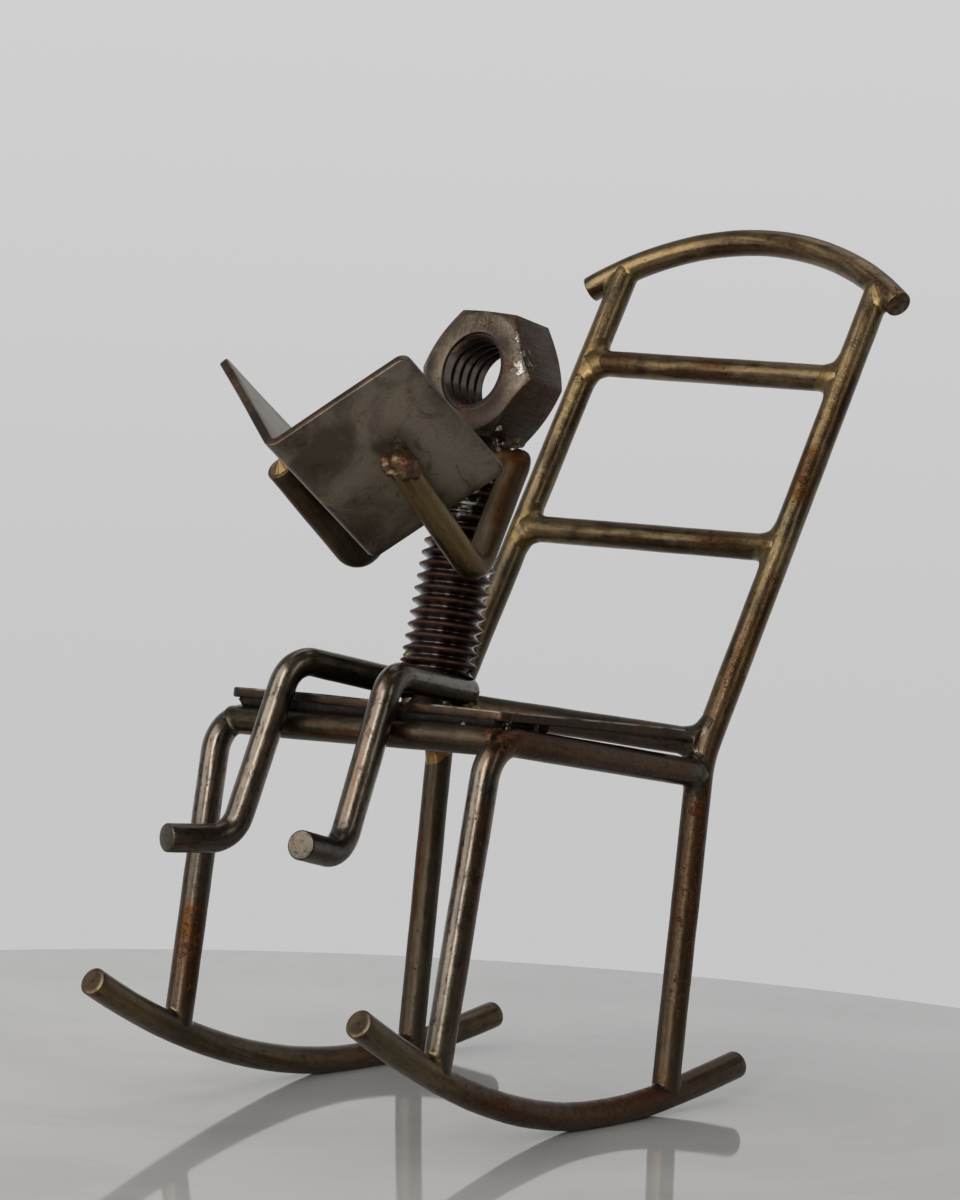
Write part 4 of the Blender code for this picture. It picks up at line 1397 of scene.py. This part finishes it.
class FIGURINE_OT_head(bpy.types.Operator):
    """Hexagon nut with chamfered corners and a threaded bore"""

    bl_idname = "figurine.head"
    bl_label = "Head nut"

    def execute(self, context):
        shape = context.scene.figurine_shape
        half, flats = shape.nut_thick / 2, shape.nut_flats / 2
        rim = flats / math.cos(math.pi / 6) + 0.6
        drop = (rim - 6.25) * CHAMFER_SLOPE
        upper = [(3.98, half - 0.45), (4.12, half), (6.22, half), (6.3, half - 0.03), (rim, half - drop)]
        lower = [(radius, -height) for radius, height in reversed(upper)]
        work = bmesh.new()
        bmesh.ops.spin(
            work, geom=drawn_profile(work, upper + lower + upper[:1]), cent=(0, 0, 0), axis=(0, 0, 1),
            dvec=(0, 0, 0), angle=math.tau, steps=96, use_merge=True,
        )
        bmesh.ops.remove_doubles(work, verts=work.verts, dist=0.002)
        for turn in range(6):
            angle = math.pi / 6 + turn * math.pi / 3
            outward = Vector((math.cos(angle), math.sin(angle), 0))
            sawn_off(work, outward * flats, outward)
        bmesh.ops.recalc_face_normals(work, faces=work.faces)
        bevelled(work, edges_sharper(work, 22), 0.14, 2)
        local = work.verts.layers.float_vector.new("bar")
        face, deep = marks(work, "cut", "depth")
        ridge = bore_thread(half, shape.thread_pitch)
        holder = bpy.data.meshes.new("ridge")
        ridge.to_mesh(holder)
        ridge.free()
        work.from_mesh(holder)
        bpy.data.meshes.remove(holder)
        for vertex in work.verts:
            radius, height = math.hypot(vertex.co.x, vertex.co.y), abs(vertex.co.z)
            vertex[local] = vertex.co
            vertex[face] = 1.0 if height > half - 0.06 else 0.0
            vertex[deep] = 1.0 if radius < 4.05 and height < half - 0.1 else 0.0
        place = nut_frame()
        work.transform(place)
        mark_silver(work, [
            (place @ start, place @ stop, spread, strength) for start, stop, spread, strength in NUT_SMEARS
        ])
        heat = [(place @ Vector(centre), spread, strength) for centre, spread, strength in NUT_HEATS]
        finish_piece(
            work, "hexagon_nut_head", nut_finish(), ("head_nut",), crease=28.0, welds=heat,
        )
        return {"FINISHED"}


class FIGURINE_OT_book(bpy.types.Operator):
    """One sheet folded down its middle into an open book"""

    bl_idname = "figurine.book"
    bl_label = "Book"

    def execute(self, context):
        thick = context.scene.figurine_shape.book_sheet
        level, rise, left, right = book_axes()
        turn = LEFT_RISE + RIGHT_RISE
        setback = FOLD_R * math.tan(turn / 2)
        arc = FOLD_R * turn
        flat_left, flat_right = LEFT_LEAF - setback, RIGHT_LEAF - setback
        width = flat_left + arc + flat_right
        work = bmesh.new()
        rim, border, clean = marks(work, "cut", "border", "clean")
        bmesh.ops.create_grid(work, x_segments=1, y_segments=1, size=0.5)
        bmesh.ops.scale(work, vec=(width, BOOK_LENGTH, 1), verts=work.verts)
        shift = (width / 2 - flat_right - arc / 2, BOOK_LENGTH / 2, 0)
        bmesh.ops.translate(work, vec=shift, verts=work.verts)
        bevelled(work, work.verts[:], BOOK_CORNER, 5, affect="VERTICES")
        in_bend, in_leaf, along_fold = 8, 18, 20
        cuts = [arc * (step / in_bend - 0.5) for step in range(in_bend + 1)]
        cuts += [arc / 2 + flat_left * step / in_leaf for step in range(1, in_leaf)]
        cuts += [-arc / 2 - flat_right * step / in_leaf for step in range(1, in_leaf)]
        scored(work, (1, 0, 0), cuts)
        scored(work, (0, 1, 0), [BOOK_LENGTH * step / along_fold for step in range(1, along_fold)])
        normal = (rise * math.cos(RIGHT_RISE) + level * math.sin(RIGHT_RISE)).normalized()
        centre = SPINE_TOP + right * setback + normal * FOLD_R
        for vertex in work.verts:
            across, along = vertex.co.x, vertex.co.y
            if across > arc / 2:
                place = SPINE_TOP + left * (across - arc / 2 + setback)
            elif across < -arc / 2:
                place = SPINE_TOP - right * (across + arc / 2 - setback)
            else:
                angle = (across / arc + 0.5) * turn
                place = centre - (normal * math.cos(angle) + right * math.sin(angle)) * FOLD_R
            away = max(0.0, abs(across) - arc)
            left_edge, right_edge = flat_left + arc / 2 - across, across + flat_right + arc / 2
            edge = min(along, BOOK_LENGTH - along, left_edge, right_edge)
            vertex[border] = math.exp(-max(0.0, edge) / BORDER_SPREAD)
            # The leaves are painted lighter away from the fold and darker towards it
            vertex[clean] = max(0.0, abs(across) - arc / 2) / flat_left
            wave = 0.16 * noise.noise(Vector((across * 0.07, along * 0.09, 5.0))) * min(1.0, away / 5)
            vertex.co = place + SPINE * along + rise * wave
        bmesh.ops.recalc_face_normals(work, faces=work.faces)
        if sum(face.normal.dot(rise) * face.calc_area() for face in work.faces) < 0:
            bmesh.ops.reverse_faces(work, faces=work.faces)
        work.normal_update()
        for vertex in work.verts:
            vertex.co += vertex.normal * thick / 2
        bmesh.ops.solidify(work, geom=work.faces[:], thickness=thick)
        bmesh.ops.recalc_face_normals(work, faces=work.faces)
        bevelled(work, edges_sharper(work, 50), 0.13, 2)
        work.normal_update()
        facing = {True: SPINE.cross(left), False: SPINE.cross(right)}
        mark_edges(work, rim, lambda face: facing[(face.calc_center_median() - SPINE_TOP).dot(level) > 0])
        heat = [(Vector((6.0, -25.2, 66.8)), 4.6, 0.72), (Vector((-9.9, -24.4, 66.0)), 3.4, 0.7)]
        finish = sheet_finish("sheet book", BOOK_LIGHT, BOOK_DARK, 0.45)
        finish_piece(work, "folded_sheet_book", finish, ("book",), crease=40.0, welds=heat)
        return {"FINISHED"}


class FIGURINE_OT_chair_welds(bpy.types.Operator):
    """Brazed fillets where the chair's bars meet"""

    bl_idname = "figurine.chair_welds"
    bl_label = "Chair welds"

    def execute(self, context):
        shape = context.scene.figurine_shape
        centres = {name: (centre, brass) for name, centre, _, brass in chair_welds()}

        def bead(work, name, routes, blend, fat, reach, lump):
            centre, brass = centres[name]
            gaps = [gap_to_bar(route, shape.bar_width, centre) for route in routes]
            run_bead(work, centre, gaps, blend, fat, reach, lump, brass=brass, detail=shape.weld_detail)

        feet, back, seat = bmesh.new(), bmesh.new(), bmesh.new()
        for word, side in SIDES.items():
            rocker, leg, post = rocker_route(side), leg_route(side), post_route(side)
            bead(feet, f"{word} front foot", (rocker, leg), 1.0, 0.03, 2.6, 0.10)
            bead(feet, f"{word} back foot", (rocker, post), 0.8, 0.02, 2.4, 0.08)
            blend, reach, lump = (2.3, 3.0, 0.02) if word == "left" else (3.4, 4.2, 0.08)
            bead(seat, f"{word} rail end", (leg, post), blend, 0.0, reach, lump)
            bead(back, f"{word} crest", (crest_route(), post), 1.6, 0.0, 2.9, 0.03)
            bead(seat, f"front_seat_bar {word}", (cross_route("front_seat_bar"), leg), 0.9, 0.0, 2.8, 0.05)
            bead(seat, f"rear_seat_bar {word}", (cross_route("rear_seat_bar"), post), 3.2, 0.0, 3.8, 0.02)
            for slat, blend in (("lower_back_slat", 3.0), ("upper_back_slat", 3.2)):
                bead(back, f"{slat} {word}", (cross_route(slat), post), blend, 0.0, 3.8, 0.02)
        for work, name in ((feet, "rocker_welds"), (back, "back_welds"), (seat, "seat_frame_welds")):
            finish_piece(work, name, braze_finish())
        return {"FINISHED"}


class FIGURINE_OT_sitter_welds(bpy.types.Operator):
    """Brazing that holds the sitter, the book and the seat sheet"""

    bl_idname = "figurine.sitter_welds"
    bl_label = "Sitter welds"

    def execute(self, context):
        shape = context.scene.figurine_shape
        width, detail = shape.bar_width, shape.weld_detail
        middle, across, back, up, half_x, half_y = seat_axes()
        seat = gap_to_block(middle, (across, back, up), (half_x, half_y, SEAT_THICK / 2))
        left_rail, right_rail = leg_route(SIDES["left"]), leg_route(SIDES["right"])
        front = cross_route("front_seat_bar")
        torso = [TORSO_BASE, TORSO_TOP]
        arms = arms_route()
        *_, left, right = book_axes()

        def bar(route, centre, wide=width):
            return gap_to_bar(route, wide, Vector(centre), 7.0)

        def page(leaf, reach):
            centre = SPINE_TOP + leaf * (reach / 2 + 0.5) + SPINE * BOOK_LENGTH / 2
            halves = (reach / 2 - 0.5, BOOK_LENGTH / 2, BOOK_THICK / 2)
            return gap_to_block(centre, (leaf, SPINE, leaf.cross(SPINE)), halves)

        work = bmesh.new()
        for place, size, brass in (((13.4, -20.7, 41.25), 0.3, -0.4), ((4.4, -20.6, 41.2), 0.35, 0.0)):
            gaps = [seat, bar(front, place)]
            run_bead(work, Vector(place), gaps, 0.5, 0.0, size * 1.8, 0.06, brass=brass, core=size)
        for place, size in (((17.9, -15.2, 41.0), 0.3), ((17.9, -19.5, 41.55), 0.35)):
            gaps = [seat, bar(left_rail, place)]
            run_bead(work, Vector(place), gaps, 0.6, 0.0, size * 1.9, 0.08, brass=0.0, core=size)
        gaps = [seat, bar(right_rail, (-17.3, -18.0, 40.0))]
        run_bead(work, Vector((-17.5, -18.0, 40.6)), gaps, 0.7, 0.0, 1.4, 0.10, brass=0.2, core=0.8)
        finish_piece(work, "seat_sheet_beads", braze_finish())
        # Painted shade: dark rods filling the gaps under the seat sheet's front and left edges
        for name, ends in SEAT_GAP_SHADES.items():
            work = forge_bar(bent(ends, ()), GAP_SHADE_WIDTH, 16, GAP_SHADE_DENTS, 81.0)
            finish_piece(work, name, seam_finish())

        work = bmesh.new()
        thighs = {word: sitter_leg_route(word) for word in LEGS}
        for thigh in thighs.values():
            place = thigh[1]
            gaps = [seat, bar(thigh, place), bar(torso, place, 6.6)]
            run_bead(work, place, gaps, 1.3, 0.05, 2.3, 0.15, brass=0.15, detail=detail)
        under = Vector((-2.0, -7.4, 43.6))
        gaps = [seat, bar(torso, under, 6.7)] + [bar(thigh, under) for thigh in thighs.values()]
        run_bead(work, under, gaps, 1.3, 0.02, 4.4, 0.12, brass=0.0, detail=detail)
        beside = Vector((0.9, -5.6, 41.6))
        gaps = [seat, bar(thighs["left"], beside)]
        run_bead(work, beside, gaps, 1.0, 0.05, 1.9, 0.25, brass=0.9, detail=detail, core=0.9)
        for place, size in TORSO_DROPS:
            run_bead(work, Vector(place), [bar(torso, place, 7.0)], 0.6, 0.25, size, 0.2, brass=0.8)
        finish_piece(work, "torso_base_braze", braze_finish())

        work = bmesh.new()
        nut = gap_to_nut(shape.nut_flats, shape.nut_thick)
        gaps = [nut, bar(arms, (-1.5, -3.4, 66.15)), bar(torso, TORSO_TOP, 6.7)]
        run_bead(
            work, Vector((-1.4, -3.0, 67.6)), gaps, 1.8, 0.12, 4.0, 0.4, brass=0.2, detail=detail, copper=0.8,
        )
        gaps = [nut, bar(arms, (1.9, -3.4, 66.15))]
        run_bead(work, Vector((1.9, -1.4, 67.8)), gaps, 1.2, 0.15, 1.5, 0.3, brass=0.6)
        on_nut = nut_frame() @ Vector((4.2, -5.3, 2.2))
        drops = ((on_nut, 0.3), (Vector((1.9, -4.7, 67.8)), 0.36), (Vector((3.5, -3.7, 67.7)), 0.3))
        for place, size in drops:
            gaps = [nut, bar(arms, place)]
            run_bead(work, place, gaps, 0.5, 0.0, size * 2.6, 0.16, 2.4, brass=-0.6, core=size)
        finish_piece(work, "neck_weld", braze_finish())

        work = bmesh.new()
        hand = arms[0]
        gaps = [page(left, LEFT_LEAF), bar(arms[:40], hand)]
        gaps += [gap_to_ball(hand + Vector(shift), radius) for shift, radius in LEFT_HAND_LUMPS]
        weld = hand + Vector((0.46, 0.3, -0.1))
        run_bead(
            work, weld, gaps, 0.4, 0.0, 2.4, 0.14, 2.6, brass=0.45, detail=detail, core=1.4, copper=1.0,
        )
        finish_piece(work, "left_hand_weld", braze_finish())

        work = bmesh.new()
        hand = arms[-1]
        gaps = [page(right, RIGHT_LEAF), bar(arms[-40:], hand)]
        weld = hand + Vector((0, -0.2, 0.8))
        run_bead(work, weld, gaps, 1.5, 0.12, 2.4, 0.25, brass=0.8, detail=detail, copper=0.3)
        finish_piece(work, "right_hand_weld", braze_finish())
        return {"FINISHED"}


def lay_table(scene, paints):
    """Pale round table top of stone, with a softened rim."""
    work = bmesh.new()
    bmesh.ops.create_circle(work, cap_ends=True, segments=256, radius=TABLE_RADIUS)
    made = bmesh.ops.extrude_face_region(work, geom=work.faces[:])["geom"]
    bmesh.ops.translate(work, vec=(0, 0, -TABLE_DEPTH), verts=verts_among(made))
    bevelled(work, edges_rising(work, 0.0, 1e-6), 1.5, 4)
    bmesh.ops.recalc_face_normals(work, faces=work.faces)
    work.transform(Matrix.Scale(MM, 4) @ Matrix.Translation(ONTO_MODEL + TABLE_MIDDLE))
    mesh = bpy.data.meshes.new("round_table")
    for face in work.faces:
        face.smooth = True
    work.to_mesh(mesh)
    work.free()
    mesh.set_sharp_from_angle(angle=math.radians(40))
    made, tree, shader = metal("pale stone", coat=0.0, specular=0.36)
    place = place_in_mm(tree)
    veins = cloud(place, 0.02, 6.0, 0.6, 1.6)
    base = mixed(band(veins, 0.35, 0.6), [part * 0.9 for part in paints.table], paints.table)
    roughness = times_plus(cloud(place, 0.3, 3.0), 0.03, 0.04)
    dress(tree, shader, base, roughness, 0.0, cloud(place, 0.5, 2.0), 0.002)
    mesh.materials.append(made)
    table = bpy.data.objects.new("round_table", mesh)
    scene.collection.objects.link(table)


def paint_room(scene, paints, setup):
    """Pale room, brighter behind the chair and darker overhead, with a backdrop for the camera painted a
    little darker towards the bottom.
    """
    world = bpy.data.worlds.new("pale room")
    world.use_nodes = True
    scene.world = world
    tree = world.node_tree
    seen = wire(tree, "ShaderNodeLightPath").outputs["Is Camera Ray"]
    look = wire(tree, "ShaderNodeTexCoord").outputs["Generated"]
    turn = math.radians(setup.azimuth)
    away = plus(times(axis_of(look, "X"), -math.sin(turn)), times(axis_of(look, "Y"), math.cos(turn)))
    wall = band(away, -0.35, 0.55, 0.10, 0.62)
    above = band(axis_of(look, "Z"), 0.10, 0.75, 1.0, 0.35)
    room = times(times(wall, above), setup.fill)
    grey = wire(tree, "ShaderNodeCombineColor", {0: room, 1: room, 2: room}).outputs[0]
    # Painted shade: the backdrop the camera sees darkens towards the bottom
    fall = band(axis_of(look, "Z"), -0.14, 0.14, 0.91, 1.02)
    colour = mixed(seen, grey, scaled(paints.backdrop, fall))
    tree.links.new(colour, tree.nodes["Background"].inputs["Color"])


def direction(azimuth, elevation):
    """Unit vector from the chair, turned from its front and raised, both in radians."""
    level = math.cos(elevation)
    return Vector((math.sin(azimuth) * level, -math.cos(azimuth) * level, math.sin(elevation)))


def hang_lamps(scene, setup):
    middle = (CAD_BOX[0] + CAD_BOX[1]) / 2
    for name, azimuth, elevation, distance, wide, high, share in LAMPS:
        lamp = bpy.data.lights.new(name, "AREA")
        lamp.shape = "RECTANGLE"
        lamp.size, lamp.size_y, lamp.energy = wide, high, setup.key * share
        holder = bpy.data.objects.new(name, lamp)
        aim = direction(math.radians(azimuth), math.radians(elevation))
        holder.location = middle + aim * distance
        holder.rotation_mode = "QUATERNION"
        holder.rotation_quaternion = aim.to_track_quat("Z", "Y")
        holder.visible_camera = False
        scene.collection.objects.link(holder)


def set_camera(scene, setup):
    lens = bpy.data.cameras.new("camera")
    lens.lens, lens.sensor_width, lens.sensor_fit = setup.lens, SENSOR, "AUTO"
    lens.clip_start, lens.clip_end = 0.02, 20.0
    camera = bpy.data.objects.new("camera", lens)
    azimuth, roll = math.radians(setup.azimuth), math.radians(setup.roll)
    behind = direction(azimuth, math.radians(setup.elevation))
    right = Vector((math.cos(azimuth), math.sin(azimuth), 0))
    up = behind.cross(right)
    rolled_right = right * math.cos(roll) + up * math.sin(roll)
    rolled_up = up * math.cos(roll) - right * math.sin(roll)
    place = Matrix.Translation((ONTO_MODEL + CAMERA_PLACE) * MM)
    camera.matrix_world = place @ turned(rolled_right, rolled_up, behind)
    scene.collection.objects.link(camera)
    scene.camera = camera


class FIGURINE_OT_stage(bpy.types.Operator):
    """Pale round table, pale room, soft lights and the camera"""

    bl_idname = "figurine.stage"
    bl_label = "Stage"

    def execute(self, context):
        scene = context.scene
        scene.view_settings.view_transform = "Standard"
        lay_table(scene, scene.figurine_colours)
        paint_room(scene, scene.figurine_colours, scene.figurine_stage)
        hang_lamps(scene, scene.figurine_stage)
        set_camera(scene, scene.figurine_stage)
        return {"FINISHED"}


PIECES = (
    FIGURINE_OT_rockers, FIGURINE_OT_side_frames, FIGURINE_OT_cross_bars, FIGURINE_OT_seat,
    FIGURINE_OT_sitter_limbs, FIGURINE_OT_torso, FIGURINE_OT_head, FIGURINE_OT_book,
    FIGURINE_OT_chair_welds, FIGURINE_OT_sitter_welds, FIGURINE_OT_stage,
)
SETTINGS = {
    "figurine_shape": FigurineShape, "figurine_colours": FigurineColours, "figurine_stage": FigurineStage,
}


class FIGURINE_PT_panel(bpy.types.Panel):
    """Settings and pieces of the figurine"""

    bl_idname = "FIGURINE_PT_panel"
    bl_label = "Scrap metal figurine"
    bl_space_type = "VIEW_3D"
    bl_region_type = "UI"
    bl_category = "Figurine"

    def draw(self, context):
        for holder, group in SETTINGS.items():
            box = self.layout.box()
            for field in group.__annotations__:
                box.prop(getattr(context.scene, holder), field)
        for piece in PIECES:
            self.layout.operator(piece.bl_idname)


def register():
    for group in (*SETTINGS.values(), *PIECES, FIGURINE_PT_panel):
        bpy.utils.register_class(group)
    for holder, group in SETTINGS.items():
        setattr(bpy.types.Scene, holder, PointerProperty(type=group))


def unregister():
    for holder in SETTINGS:
        delattr(bpy.types.Scene, holder)
    for group in (FIGURINE_PT_panel, *PIECES, *SETTINGS.values()):
        bpy.utils.unregister_class(group)


def main():
    register()
    for piece in PIECES:
        group, name = piece.bl_idname.split(".")
        getattr(getattr(bpy.ops, group), name)()


if __name__ == "__main__":
    main()
